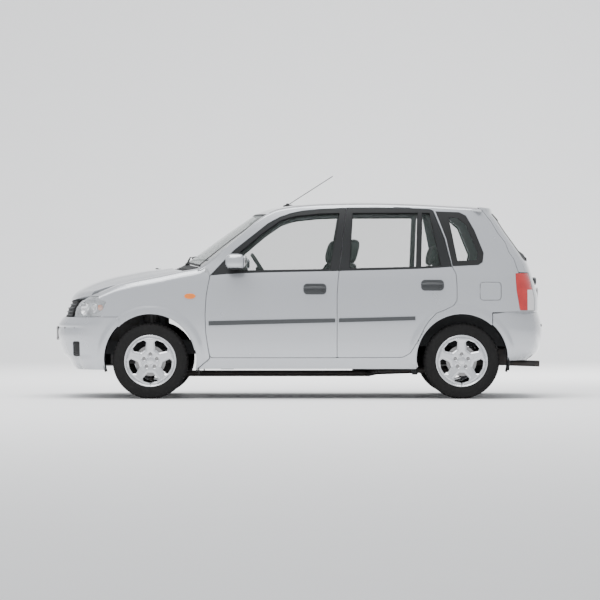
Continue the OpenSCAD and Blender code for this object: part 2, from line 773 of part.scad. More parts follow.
module exhaust() {
    color("gray") {
        low = 205 - fit - pipe_r;
        for (p = [[rear_x - 700, -60, low], [rear_x - 640, -340, low + 20], [rear_x - 60, -340, 220],
            [rear_x + 100, -300, 290]]) translate(p) sphere(r = pipe_r + 1, $fn = 32);
        bar([front_x + 100, -60, low], [rear_x - 700, -60, low], pipe_r);
        bar([rear_x - 700, -60, low], [rear_x - 640, -340, low + 20], pipe_r);
        bar([rear_x - 640, -340, low + 20], [rear_x - 60, -340, 220], pipe_r);
        bar([rear_x - 60, -340, 220], [rear_x + 100, -300, 290], pipe_r);
        block([rear_x + 80, -420, 250], [rear_x + 400, -180, 380]);
        for (x = [140, 340]) block([rear_x + x, -310, 379], [rear_x + x + 20, -290, 436 - fit]);
        bar([rear_x + 380, -340, 270], [px(1870), -340, 262], pipe_r);
    }
}

// ---- Wheels: axis along Y, the outer face towards +Y ----
module tyre() {
    h = tyre_w / 2;
    bead = rim_r - 9 + fit;
    color("black") rotate([-90, 0, 0]) rotate_extrude($fn = 64) polygon([[bead, -h + 10 + fit], [rim_r + 1, -h + 10 + fit],
        [rim_r + 6, -h + 3], [rim_r + 32, -h], [tyre_r - 30, -h + 4], [tyre_r - 8, -h + 14], [tyre_r, -h + 30], [tyre_r, h - 30],
        [tyre_r - 8, h - 14], [tyre_r - 30, h - 4], [rim_r + 32, h], [rim_r + 6, h - 3], [rim_r + 1, h - 10 - fit], [bead, h - 10 - fit]]);
}
module rim() {
    h = tyre_w / 2 - 10;
    color("silver") rotate([-90, 0, 0]) {
        rotate_extrude($fn = 64) polygon([[rim_r - 9, -h], [rim_r, -h], [rim_r, -h - 5], [rim_r - 18, -h - 5],
            [rim_r - 24, 0], [rim_r - 18, h + 5], [rim_r, h + 5], [rim_r, h], [rim_r - 9, h], [rim_r - 14, 0]]);
        difference() {
            translate([0, 0, hub_face]) cylinder(h = 26, r = rim_r - 19);
            translate([0, 0, hub_face - 1]) cylinder(h = 20, r = stub_r + fit);
            for (a = [0 : 72 : 359]) rotate([0, 0, a + 36 + 180]) {
                translate([0, 0, hub_face - 1]) linear_extrude(40) offset(r = 14) offset(delta = -14)
                    polygon([[-24, 84], [24, 84], [78, rim_r - 66], [62, rim_r - 40], [0, rim_r - 24],
                        [-62, rim_r - 40], [-78, rim_r - 66]]);
                rotate([0, 0, 36]) translate([0, 52, hub_face + 10]) cylinder(h = 20, r = 12);
            }
        }
        translate([0, 0, hub_face - hub_t]) difference() {
            union() {
                cylinder(h = hub_t, r = 62);
                cylinder(h = 12, r = disc_r);
            }
            translate([0, 0, -1]) cylinder(h = 30, r = stub_r + fit);
        }
    }
}
module front_place() {
    translate([front_x, wheel_y, tyre_r]) children();
}
module rear_place() {
    translate([rear_x, rear_wheel_y, tyre_r]) children();
}
module tyre_front_left() {
    left() front_place() tyre();
}
module tyre_front_right() {
    front_place() tyre();
}
module tyre_rear_left() {
    left() rear_place() tyre();
}
module tyre_rear_right() {
    rear_place() tyre();
}
module rim_front_left() {
    left() front_place() rim();
}
module rim_front_right() {
    front_place() rim();
}
module rim_rear_left() {
    left() rear_place() rim();
}
module rim_rear_right() {
    rear_place() rim();
}

// ---- Floor, bulkhead, inner arches and rear panel ----
floor_low = 240;
floor_high = 262;
module floor_pan() {
    inner = py(side_y(-760, floor_low)) - frame_y - fit;
    color("slategray") difference() {
        union() {
            block([px(-760), -inner, floor_low], [px(900), inner, floor_high]);
            block([px(-780), -py(680), floor_low], [px(-748), py(680), 960]);
            block([px(880), -inner, floor_low], [px(905), inner, 460]);
            block([px(880), -py(520), 436], [px(1770), py(520), 460]);
            block([px(1745), -py(560), 400], [px(1770), py(560), 655]);
            both() {
                block([px(-1700), 390, 340], [px(-760), 450, 440]);
                translate([front_x, strut_top_y, 765]) cylinder(h = 60, r = 90);
                block([front_x - 95, 440, 400], [front_x + 95, 452, 825]);
                block([front_x - 95, 440, 765], [front_x + 95, strut_top_y, 825]);
                block([px(-1600), 440, 640], [px(-770), 470, 700]);
                difference() {
                    translate([rear_x, py(500), 305]) rotate([-90, 0, 0]) cylinder(h = py(724) - py(500), r = arch_r + 14);
                    block([px(800), 0, -200], [px(1700), 1000, 400]);
                }
                for (x = [-560, 560]) block([px(x) - 50, inner - 60, 225], [px(x) + 50, inner - 2, floor_high]);
            }
            block([px(-1710), -450, 350], [px(-1680), 450, 626]);
            block([px(-1698), -640, 600], [px(-1660), 640, 626]);
            for (s = [-1, 1]) block([px(-1795.4), s * 200 - 10, 640], [px(-1680), s * 200 + 10, 660]);
            for (s = [-1, 1]) block([px(-1700), s * 200 - 10, 620], [px(-1680), s * 200 + 10, 650]);
            for (s = [-1, 1]) {
                translate([px(-1690), s * 420, 300]) rotate([90, 0, 0]) cylinder(h = 16, r = 30, center = true);
                block([px(-1720), s * 420 - 8, 300], [px(-1680), s * 420 + 8, 360]);
            }
            translate([px(1700), 300, 330]) rotate([90, 0, 0]) cylinder(h = 16, r = 30, center = true);
            block([px(1700) - 20, 292, 330], [px(1700) + 20, 308, 440]);
        }
        both() {
            translate([rear_x, py(500) + 14, 305]) rotate([-90, 0, 0]) cylinder(h = 400, r = arch_r);
            translate([front_x, strut_top_y, 700]) cylinder(h = 105, r = spring_r + 12);
            translate([front_x, strut_top_y, 700]) cylinder(h = 300, r = strut_r + 9);
        }
        for (s = [-1, 1]) translate([px(-1690), s * 420, 300]) rotate([90, 0, 0])
            cylinder(h = 40, r = tow_bore_r, center = true);
        translate([px(1700), 300, 330]) rotate([90, 0, 0]) cylinder(h = 40, r = tow_bore_r, center = true);
    }
}

floor_pan();
side_frame_left();
side_frame_right();
roof_panel();
front_fenders();
front_bumper();
rear_bumper();
grille();
cowl();
headlights();
tail_lights();
windscreen();
quarter_windows();
hood();
tailgate();
tailgate_glass();
front_door_left();
front_door_right();
rear_door_left();
rear_door_right();
front_glass_left();
front_glass_right();
rear_glass_left();
rear_glass_right();
mirror_left();
mirror_right();
fuel_flap();
aerial();
dashboard();
steering_wheel();
front_seats();
rear_seat();
engine_block();
front_subframe();
rear_axle();
fuel_tank();
exhaust();
front_knuckle_left();
front_knuckle_right();
tyre_front_left();
tyre_front_right();
tyre_rear_left();
tyre_rear_right();
rim_front_left();
rim_front_right();
rim_rear_left();
rim_rear_right();
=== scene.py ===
"""Skins, glass, lamps, trim, wheels, cabin and finishes of a five-door hatchback."""

import bpy
import numpy as np
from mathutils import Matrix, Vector


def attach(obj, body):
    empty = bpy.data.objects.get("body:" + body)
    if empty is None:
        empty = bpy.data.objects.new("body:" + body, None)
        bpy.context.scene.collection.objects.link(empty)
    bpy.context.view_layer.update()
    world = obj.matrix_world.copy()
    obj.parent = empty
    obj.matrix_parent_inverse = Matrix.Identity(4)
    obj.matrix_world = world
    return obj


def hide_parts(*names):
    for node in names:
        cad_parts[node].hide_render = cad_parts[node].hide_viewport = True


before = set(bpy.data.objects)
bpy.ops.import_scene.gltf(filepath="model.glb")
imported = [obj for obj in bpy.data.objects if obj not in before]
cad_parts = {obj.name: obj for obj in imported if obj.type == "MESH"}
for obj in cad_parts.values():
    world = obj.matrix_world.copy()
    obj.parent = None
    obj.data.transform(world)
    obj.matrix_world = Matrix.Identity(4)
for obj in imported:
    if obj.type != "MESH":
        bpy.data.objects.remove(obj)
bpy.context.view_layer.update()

bl_info = {
    "name": "Hatchback body",
    "version": (1, 0, 0),
    "blender": (4, 5, 0),
    "location": "View3D > Sidebar > Hatchback",
    "description": "Builds the skins, glass, lamps, trim, wheels and cabin of a five-door hatchback",
    "category": "Add Mesh",
}

MM = 0.001
# ---- Drawn curves of the body, in millimetres ----
FRONT_X, REAR_X = -1149.0, 1241.0
WHEEL_Y, TYRE_R, TYRE_W, RIM_R = 715.5, 292.0, 175.0, 199.0
ARCH_R, ARCH_Z = 355.0, 305.0
SIDE_LEAN = [[190, 48], [260, 28], [330, 14], [450, 4], [600, 0], [750, 4], [860, 12], [930, 22],
    [980, 34], [1040, 50], [1465, 170], [1490, 190], [1505, 225]]
EDGE_Z = [[-1620, 790], [-1548, 820], [-1389, 881], [-1060, 948], [-902, 980], [-787, 1001],
    [-520, 1210], [-248, 1423], [-160, 1458], [0, 1482], [192, 1494], [532, 1499], [872, 1491],
    [1145, 1477], [1416, 1460], [1505, 1440]]
EDGE_Y = [[-1620, 632], [-1548, 648], [-1389, 672], [-1060, 700], [-902, 712], [-787, 716],
    [-520, 668], [-248, 620], [0, 604], [532, 600], [1145, 590], [1416, 572], [1505, 560]]
ROOF_Z = [[-351, 1433], [-263, 1467], [-99, 1497], [0, 1509], [192, 1522], [532, 1528],
    [872, 1519], [1145, 1506], [1416, 1489], [1505, 1469]]
REAR_LINE = [[660, 1866], [758, 1866], [863, 1845], [975, 1811], [1034, 1791], [1094, 1757],
    [1192, 1689], [1285, 1621], [1390, 1552], [1442, 1512], [1469, 1505], [1480, 1450], [1489, 1396]]
REAR_PLAN = [[1240, 811.5, 0], [1400, 810, 0.3], [1500, 806, 0.5], [1600, 799, 0.75], [1690, 780, 0.92],
    [1745, 750, 1], [1785, 705, 1], [1812, 645, 1], [1833, 560, 1], [1850, 420, 1], [1862, 220, 1],
    [1866, 0, 1]]
HOOD_LINE = [[0, -1806, 759], [.025, -1787, 796], [.1, -1724, 844], [.27, -1598, 905], [.43, -1472, 942],
    [.6, -1346, 969], [.76, -1220, 991], [.92, -1094, 1003], [1, -1031, 1010]]
HOOD_DROP = [[0, -38], [0.1, 0], [0.3, 31], [0.55, 44], [0.77, 45], [1, 26]]
FRONT_PLAN = [[-1491, 797], [-1560, 785], [-1640, 757], [-1740, 690], [-1820, 580], [-1870, 430],
    [-1893, 240], [-1900, 0]]
FRONT_NOSE = [[223, 150], [253, 120], [308, 84], [344, 40], [420, 12], [500, 0], [564, 0], [600, 20],
    [626, 42]]
REAR_BUMPER_PLAN = [[1480, 806], [1530, 803], [1600, 799], [1690, 778], [1760, 735], [1825, 630],
    [1872, 450], [1893, 240], [1900, 0]]
REAR_NOSE = [[296, 130], [323, 76], [363, 33], [413, 12], [530, 0], [586, 7], [640, 25], [664, 34]]
FASCIA_PLAN = [[-1840, 0], [-1832, 200], [-1806, 340], [-1762, 462], [-1752, 482], [-1700, 590],
    [-1620, 690], [-1540, 752], [-1490, 778]]
FASCIA_LEAN = [[632, 0], [704, 15], [745, 40], [765, 48]]
FRONT_DOOR = [[-688, 330], [-706, 420], [-720, 520], [-724, 650], [-716, 790], [-700, 880],
    [-686, 945], [-507, 1136], [-331, 1276], [-243, 1346], [-155, 1394], [-70, 1424], [21, 1443],
    [160, 1457], [354, 1465], [298, 984], [290, 930], [281, 800], [281, 320], [-676, 320]]
REAR_DOOR = [[288, 320], [288, 800], [297, 930], [305, 984], [363, 1466], [582, 1468], [845, 1463],
    [1003, 1454], [1025, 1443], [1109, 1232], [1162, 1021], [1195, 955], [1201, 863], [1201, 758],
    [1175, 718], [1120, 690], [1043, 659], [990, 605], [950, 546], [898, 442], [845, 356], [810, 335],
    [779, 322]]
FRONT_WINDOW = [[-475, 984], [-463, 1127], [-287, 1276], [-155, 1368], [-80, 1394], [-24, 1407],
    [152, 1425], [306, 1430], [233, 996]]
REAR_WINDOW = [[377, 1001], [404, 1430], [908, 1431], [895, 1013]]
VENT_WINDOW = [[926, 1014], [939, 1431], [1000, 1428], [1086, 1020]]
QUARTER_GLASS = [[1130, 1405], [1215, 1405], [1287, 1343], [1378, 1125], [1364, 1052], [1200, 1046]]
QUARTER_SURROUND = [[1044, 1441], [1228, 1434], [1279, 1408], [1342, 1295], [1412, 1119], [1403, 1049],
    [1370, 1027], [1172, 1018], [1124, 1232]]
TAIL_LINE = [[1396, 1500], [1388, 1481], [1478, 1364], [1527, 1277], [1583, 1205], [1611, 1128],
    [1649, 1074], [1681, 973], [1764, 972], [1791, 863], [1811, 758], [1808, 676], [1950, 676],
    [1950, 1500]]
LAMP_LINE = [[1656, 962], [1663, 836], [1689, 681], [1800, 681], [1803, 758], [1783, 863], [1757, 964]]
BELT = [[-700, 945], [-475, 962], [344, 982], [1000, 1001], [1162, 1012], [1420, 1020]]


# ---- Numbers and shapes ----
def smooth(x, table, column=1):
    """Monotone cubic through a table's points: Hermite pieces whose slopes are harmonic means."""
    t = np.asarray(table, float)
    xs, ys = t[:, 0], t[:, column]
    h = np.diff(xs)
    d = np.diff(ys) / h
    m = np.empty(len(xs))
    m[0], m[-1] = d[0], d[-1]
    rising = d[:-1] * d[1:] > 0
    a, b = 2 * h[1:] + h[:-1], h[1:] + 2 * h[:-1]
    safe = np.where(rising, d[:-1], 1), np.where(rising, d[1:], 1)
    m[1:-1] = np.where(rising, (a + b) / (a / safe[0] + b / safe[1]), 0)
    x = np.clip(np.asarray(x, float), xs[0], xs[-1])
    i = np.clip(np.searchsorted(xs, x) - 1, 0, len(h) - 1)
    s = (x - xs[i]) / h[i]
    r = 1 - s
    return (ys[i] * (1 + 2 * s) * r * r + m[i] * h[i] * s * r * r
            + ys[i + 1] * s * s * (3 - 2 * s) - m[i + 1] * h[i] * s * s * r)


def ramp(t):
    """Smooth step from 0 to 1 as t goes from 0 to 1."""
    t = np.clip(t, 0, 1)
    return t * t * (3 - 2 * t)


def by_length(points):
    """The points with their distance along the chain as a first column."""
    p = np.asarray(points, float)
    run = np.concatenate([[0], np.cumsum(np.linalg.norm(np.diff(p[:, :2], axis=0), axis=1))])
    return np.column_stack([run, p])


def inside(outline, grow=0.0):
    """Signed distance to a closed outline, negative inside, less the amount it is grown."""
    a = np.asarray(outline, float)
    b = np.roll(a, -1, axis=0)
    def level(u, v):
        shape = np.broadcast(u, v).shape
        p = np.column_stack([np.broadcast_to(u, shape).ravel(), np.broadcast_to(v, shape).ravel()])
        best = np.full(len(p), 1e9)
        odd = np.zeros(len(p), bool)
        for p0, p1 in zip(a, b):
            e = p1 - p0
            w = p - p0
            t = np.clip((w @ e) / (e @ e), 0, 1)
            best = np.minimum(best, np.linalg.norm(w - t[:, None] * e, axis=1))
            cross = (p0[1] > p[:, 1]) != (p1[1] > p[:, 1])
            rise = e[1] if e[1] else 1e-9
            odd ^= cross & (p[:, 0] < p0[0] + (p[:, 1] - p0[1]) * e[0] / rise)
        return (np.where(odd, -best, best) - grow).reshape(shape)
    return level


def disc(x, z, r):
    """Signed distance to a circle, negative inside."""
    return lambda u, v: np.hypot(u - x, v - z) - r


def slot_shape(x, z, w, h, r):
    """Signed distance to a rectangle with round corners, negative inside."""
    def level(u, v):
        a, b = np.abs(u - x) - w / 2 + r, np.abs(v - z) - h / 2 + r
        return np.hypot(np.maximum(a, 0), np.maximum(b, 0)) + np.minimum(np.maximum(a, b), 0) - r
    return level


def both_of(*levels):
    """Where every shape is."""
    return lambda u, v: np.maximum.reduce([f(u, v) for f in levels])


def any_of(*levels):
    """Where at least one shape is."""
    return lambda u, v: np.minimum.reduce([f(u, v) for f in levels])


def outside(level):
    """Where the shape isn't."""
    return lambda u, v: -level(u, v)


def grid_faces(n, m, close_n=False, close_m=False):
    """Quads of an n by m grid of points, closed on itself where asked."""
    i = np.arange(n if close_n else n - 1)
    j = np.arange(m if close_m else m - 1)
    a, b = np.meshgrid(i, j, indexing="ij")
    c, d = (a + 1) % n, (b + 1) % m
    return np.stack([a * m + b, c * m + b, c * m + d, a * m + d], axis=-1).reshape(-1, 4)


def normals_of(surface, u, v, step=0.5):
    """Unit normals: the cross product of the differences along the two parameters."""
    du = surface(u + step, v) - surface(u - step, v)
    dv = surface(u, v + step) - surface(u, v - step)
    n = np.cross(du, dv)
    return n / np.maximum(np.linalg.norm(n, axis=-1, keepdims=True), 1e-9)


def thick(outer, normals, quads, t):
    """Closed sheet: the outer face, the same face moved in by t, and walls along the open edges."""
    k = len(outer)
    edges = np.concatenate([quads[:, [0, 1]], quads[:, [1, 2]], quads[:, [2, 3]], quads[:, [3, 0]]])
    key = np.sort(edges, axis=1)
    code = key[:, 0] * (k + 1) + key[:, 1]
    _, first, count = np.unique(code, return_index=True, return_counts=True)
    rim = edges[first[count == 1]]
    rim = rim[rim[:, 0] != rim[:, 1]]
    walls = np.column_stack([rim[:, 1], rim[:, 0], rim[:, 0] + k, rim[:, 1] + k])
    return np.concatenate([outer, outer - t * normals]), np.concatenate([quads, quads[:, ::-1] + k, walls])


def cut_sheet(surface, level, u_span, v_span, cell, t, lift=0.0, flip=False):
    """Sheet on a surface of two parameters, cut along the zero line of a level function.

    Cells whose middle is inside are kept, and the points on their rim move along the level's slope on to the line.
    """
    nu = max(2, int(round((u_span[1] - u_span[0]) / cell)) + 1)
    nv = max(2, int(round((v_span[1] - v_span[0]) / cell)) + 1)
    u, v = np.meshgrid(np.linspace(*u_span, nu), np.linspace(*v_span, nv), indexing="ij")
    mid = level((u[1:, 1:] + u[:-1, :-1]) / 2, (v[1:, 1:] + v[:-1, :-1]) / 2) < 0
    quads = grid_faces(nu, nv)[mid.ravel()]
    used, back = np.unique(quads, return_inverse=True)
    quads = back.reshape(quads.shape)
    u, v = u.ravel()[used], v.ravel()[used]
    # a vertex is on the rim unless four kept cells meet at it
    rim = np.bincount(quads.ravel(), minlength=len(u)) < 4
    on_frame = (u <= u_span[0]) | (u >= u_span[1]) | (v <= v_span[0]) | (v >= v_span[1])
    pick = np.where(rim)[0]
    for _ in range(4):
        a, b = u[pick], v[pick]
        f = level(a, b)
        gu = (level(a + 0.5, b) - level(a - 0.5, b))
        gv = (level(a, b + 0.5) - level(a, b - 0.5))
        g = np.maximum(gu * gu + gv * gv, 0.2)
        move = np.clip(f / g, -cell * 1.2, cell * 1.2)
        hold = on_frame[pick] & (np.abs(f) > cell * 1.3)
        move = np.where(hold, 0, move)
        u[pick] = np.clip(a - move * gu, *u_span)
        v[pick] = np.clip(b - move * gv, *v_span)
    n = normals_of(surface, u, v)
    if flip:
        n, quads = -n, quads[:, ::-1]
    return thick(surface(u, v) + lift * n, n, quads, t)


def grid_sheet(surface, us, vs, t, lift=0.0, flip=False):
    """Sheet on a surface of two parameters over a whole grid."""
    u, v = np.meshgrid(us, vs, indexing="ij")
    u, v = u.ravel(), v.ravel()
    quads = grid_faces(len(us), len(vs))
    n = normals_of(surface, u, v)
    if flip:
        n, quads = -n, quads[:, ::-1]
    return thick(surface(u, v) + lift * n, n, quads, t)


def mirrored(part):
    """The same part on the other side of the car."""
    return part[0] * [1, -1, 1], part[1][:, ::-1]


def joined(*parts):
    """Several parts as one, with their face numbers moved up."""
    points, faces, start = [], [], 0
    for p, f in parts:
        f = np.asarray(f)
        if f.shape[1] == 3:
            f = np.column_stack([f, f[:, 2]])
        points.append(p)
        faces.append(f + start)
        start += len(p)
    return np.concatenate(points), np.concatenate(faces)


def lathe(profile, centre, count=96, axis="y", side=1):
    """A closed profile of (radius, distance along the axis) turned round the axis."""
    p = np.asarray(profile, float)
    a = np.linspace(0, 2 * np.pi, count, endpoint=False)
    r = np.broadcast_to(p[:, 0], (count, len(p)))
    h = np.broadcast_to(p[:, 1], (count, len(p))) * side
    c, s = np.cos(a)[:, None] * r, np.sin(a)[:, None] * r
    order = {"y": (c, h, s), "x": (h, c, s), "z": (c, s, h)}[axis]
    q = grid_faces(count, len(p), True, True)
    return np.stack(order, axis=-1).reshape(-1, 3) + np.asarray(centre, float), q


def tube(path, radius, sides=12, flat=1.0, up=(0, 0, 1), ends=True):
    """Round or oval section carried along a path, with domed ends."""
    p = np.asarray(path, float)
    r = np.broadcast_to(np.asarray(radius, float), (len(p),)).copy()
    if ends:
        d0, d1 = p[0] - p[1], p[-1] - p[-2]
        d0, d1 = d0 / np.linalg.norm(d0), d1 / np.linalg.norm(d1)
        k = np.array([1, 0.9, 0.6])
        p = np.concatenate([p[0] + d0 * (r[0] * k[:, None]) * 0.8, p, p[-1] + d1 * (r[-1] * k[::-1, None]) * 0.8])
        r = np.concatenate([r[0] * np.array([0.02, 0.45, 0.8]), r, r[-1] * np.array([0.8, 0.45, 0.02])])
    d = np.gradient(p, axis=0)
    d /= np.maximum(np.linalg.norm(d, axis=1, keepdims=True), 1e-9)
    side = np.cross(d, np.asarray(up, float))
    side /= np.maximum(np.linalg.norm(side, axis=1, keepdims=True), 1e-9)
    top = np.cross(side, d)
    a = np.linspace(0, 2 * np.pi, sides, endpoint=False)
    ring = (np.cos(a)[None, :, None] * side[:, None] + flat * np.sin(a)[None, :, None] * top[:, None])
    pts = p[:, None] + ring * r[:, None, None]
    return pts.reshape(-1, 3), grid_faces(len(p), sides, False, True)[:, ::-1]


def pill(centre, size, power=4.0, n=24, m=36, turn=None):
    """Rounded block: a ball whose radius follows the superellipsoid of the given power."""
    a = np.linspace(-np.pi / 2, np.pi / 2, n)[:, None]
    b = np.linspace(0, 2 * np.pi, m, endpoint=False)[None, :]
    d = np.stack([np.cos(a) * np.cos(b), np.cos(a) * np.sin(b), np.sin(a) + 0 * b], axis=-1)
    r = (np.abs(d) ** power).sum(-1, keepdims=True) ** (-1 / power)
    p = (d * r).reshape(-1, 3) * (np.asarray(size, float) / 2)
    if turn is not None:
        p = p @ np.asarray(turn, float).T
    return p + np.asarray(centre, float), grid_faces(n, m, False, True)[:, ::-1]


def turned(axis, degrees):
    """Matrix of a turn about one axis."""
    a = np.radians(degrees)
    c, s = np.cos(a), np.sin(a)
    return {"x": np.array([[1, 0, 0], [0, c, -s], [0, s, c]]),
            "y": np.array([[c, 0, s], [0, 1, 0], [-s, 0, c]]),
            "z": np.array([[c, -s, 0], [s, c, 0], [0, 0, 1]])}[axis]


# ---- The body's surfaces: each takes two parameters in millimetres and gives points ----
REAR_RUN = by_length(REAR_PLAN)
REAR_HALF = float(REAR_RUN[-1, 0])
LID_RUN = by_length([[z, x] for z, x in REAR_LINE])
LID_LEN = float(LID_RUN[-1, 0])


def plan_y(x):
    """Half width of the body in plan, less a power of the distance from the widest place."""
    return 830 - 40 * (np.abs(x - 200) / 1700) ** 2.5


def lean(z):
    """How far the side leans in at a height."""
    return smooth(z, SIDE_LEAN)


def rear_at(s, z):
    """Rear corner's point at a distance along its plan and a height: the plan plus a share of the rear's slope."""
    half = REAR_HALF - np.abs(REAR_HALF - s)
    x, y, share = (smooth(half, REAR_RUN, k) for k in (1, 2, 3))
    return x + share * (smooth(z, REAR_LINE) - 1866), np.sign(REAR_HALF - s + 1e-6) * y * (1 - lean(z) / 830)


def rear_surface(s, v):
    """The rear end, across by distance along its plan and up by distance along its slope."""
    z = smooth(v, LID_RUN, 1)
    x, y = rear_at(s, z)
    return np.stack([x, y, z], axis=-1)


def rear_y(x, z):
    """Half width of the rear corner at a place: the plan distance found by halving."""
    low, high = np.zeros(np.shape(x)), np.full(np.shape(x), REAR_HALF)
    for _ in range(26):
        mid = (low + high) / 2
        behind = rear_at(mid, z)[0] < x
        low, high = np.where(behind, mid, low), np.where(behind, high, mid)
    return rear_at(low, z)[1]


def flare(x, z):
    """Height of the raised band round both wheel arches."""
    out = 0
    for cx in (FRONT_X, REAR_X):
        d = np.hypot(x - cx, z - ARCH_Z) - ARCH_R
        out = out + 7.0 * (1 - ramp((d - 34) / 26)) * ramp((z - 215) / 60)
    return out


def side_y(x, z):
    """Half width of the side: the plan less the lean, turning into the rear corner, plus the arch bands."""
    front = plan_y(x) - lean(z)
    y = front
    back = x > 1200
    if np.any(back):
        xb, zb = np.where(back, x, 1300.0), z + 0 * x
        y = np.where(back, front + (rear_y(xb, zb) - front) * ramp((x - 1200) / 180), front)
    return y + flare(x, z)


def side(x, z):
    """The right side by distance along the car and height."""
    x, z = np.broadcast_arrays(np.asarray(x, float), np.asarray(z, float))
    return np.stack([x, side_y(x, z), z], axis=-1)


def rail(x, s, drop):
    """Rolled upper edge: a curve with one control point from the side up to the edge, s from 0 to 1."""
    ze, ye = smooth(x, EDGE_Z), smooth(x, EDGE_Y)
    zl = ze - drop
    yl = side_y(x, zl)
    q = 1 - s
    y = q * q * yl + 2 * q * s * (yl - 6) + s * s * ye
    z = q * q * zl + 2 * q * s * (ze - 3) + s * s * ze
    return np.stack([x + 0 * s, y, z], axis=-1)


def bumper(plan, nose):
    """Bumper by distance along its plan and height: the plan drawn in by the nose profile or the side's lean."""
    run = by_length(plan)
    length = float(run[-1, 0])
    def surface(s, z):
        half = length - np.abs(length - s)
        x, y = smooth(half, run, 1), smooth(half, run, 2)
        w = np.clip((np.abs(x) - 1500) / 250, 0, 1) ** 1.5
        a = lean(z) + (smooth(z, nose) - lean(z)) * w
        k = np.abs(y) / 800
        py = (y - a * k * k) * np.sign(length - s + 1e-6)
        return np.stack([x - np.sign(x) * a * (1 - 0.8 * k ** 3), py, z + 0 * x], axis=-1)
    return surface, length


FASCIA_RUN = by_length(FASCIA_PLAN)


def fascia(s, z):
    """Face between bumper and hood, by distance along its plan and height."""
    half = np.abs(s)
    a = smooth(632 + (z - 622) * 133 / 130, FASCIA_LEAN)
    x, y = smooth(half, FASCIA_RUN, 1), smooth(half, FASCIA_RUN, 2)
    return np.stack([x + a, np.sign(s + 1e-6) * (y - 0.2 * a * ramp(half / 400)), z + 0 * x], axis=-1)


def hood_surface(u, w):
    """Hood by share of its length and share of its half width, both in thousandths."""
    u, w = u / 1000, w / 1000
    a = np.abs(w) ** 2.4
    x = (-1806 + 196 * a) * (1 - u) + (-1031 + 125 * a) * u
    y = w * (smooth(x, EDGE_Y) - 7)
    z = smooth(u, HOOD_LINE, 2) - smooth(u, HOOD_DROP) * a - 2
    z = z + 5 * np.exp(-((np.abs(w) - 0.6) / 0.09) ** 2) * ramp(u * 4)
    return np.stack([x, y, z], axis=-1)


def roof_surface(x, w):
    """Roof by distance along the car and share of its half width in thousandths."""
    w = w / 1000
    xx = x + 104 * w * w * np.maximum(0, 1 - (x + 351) / 350)
    ze = smooth(xx, EDGE_Z)
    z = smooth(x, ROOF_Z) + (ze - smooth(x, ROOF_Z)) * np.abs(w) ** 2.2
    return np.stack([xx, w * (smooth(xx, EDGE_Y) - 16), z], axis=-1)


def screen_surface(u, w):
    """Windscreen by share of its height and share of its half width, in thousandths."""
    u, w = u / 1000, w / 1000
    a = w * w
    x = (-894 + 113 * a) * (1 - u) + (-356 + 104 * a) * u
    z = (1046 - 31 * a) * (1 - u) + (1431 - 9 * a) * u
    return np.stack([x - 6 * np.sin(np.pi * u), w * (707 + (613 - 707) * u), z + 4 * np.sin(np.pi * u)], axis=-1)


def cowl_surface(u, w):
    """Scuttle panel by share of its depth and share of its half width, in thousandths."""
    u, w = u / 1000, w / 1000
    a = w * w
    line = [[0, -1024, 985], [0.5, -960, 1008], [1, -898, 1040]]
    return np.stack([smooth(u, line) + 118 * a, 690 * w, smooth(u, line, 2) - 30 * a], axis=-1)


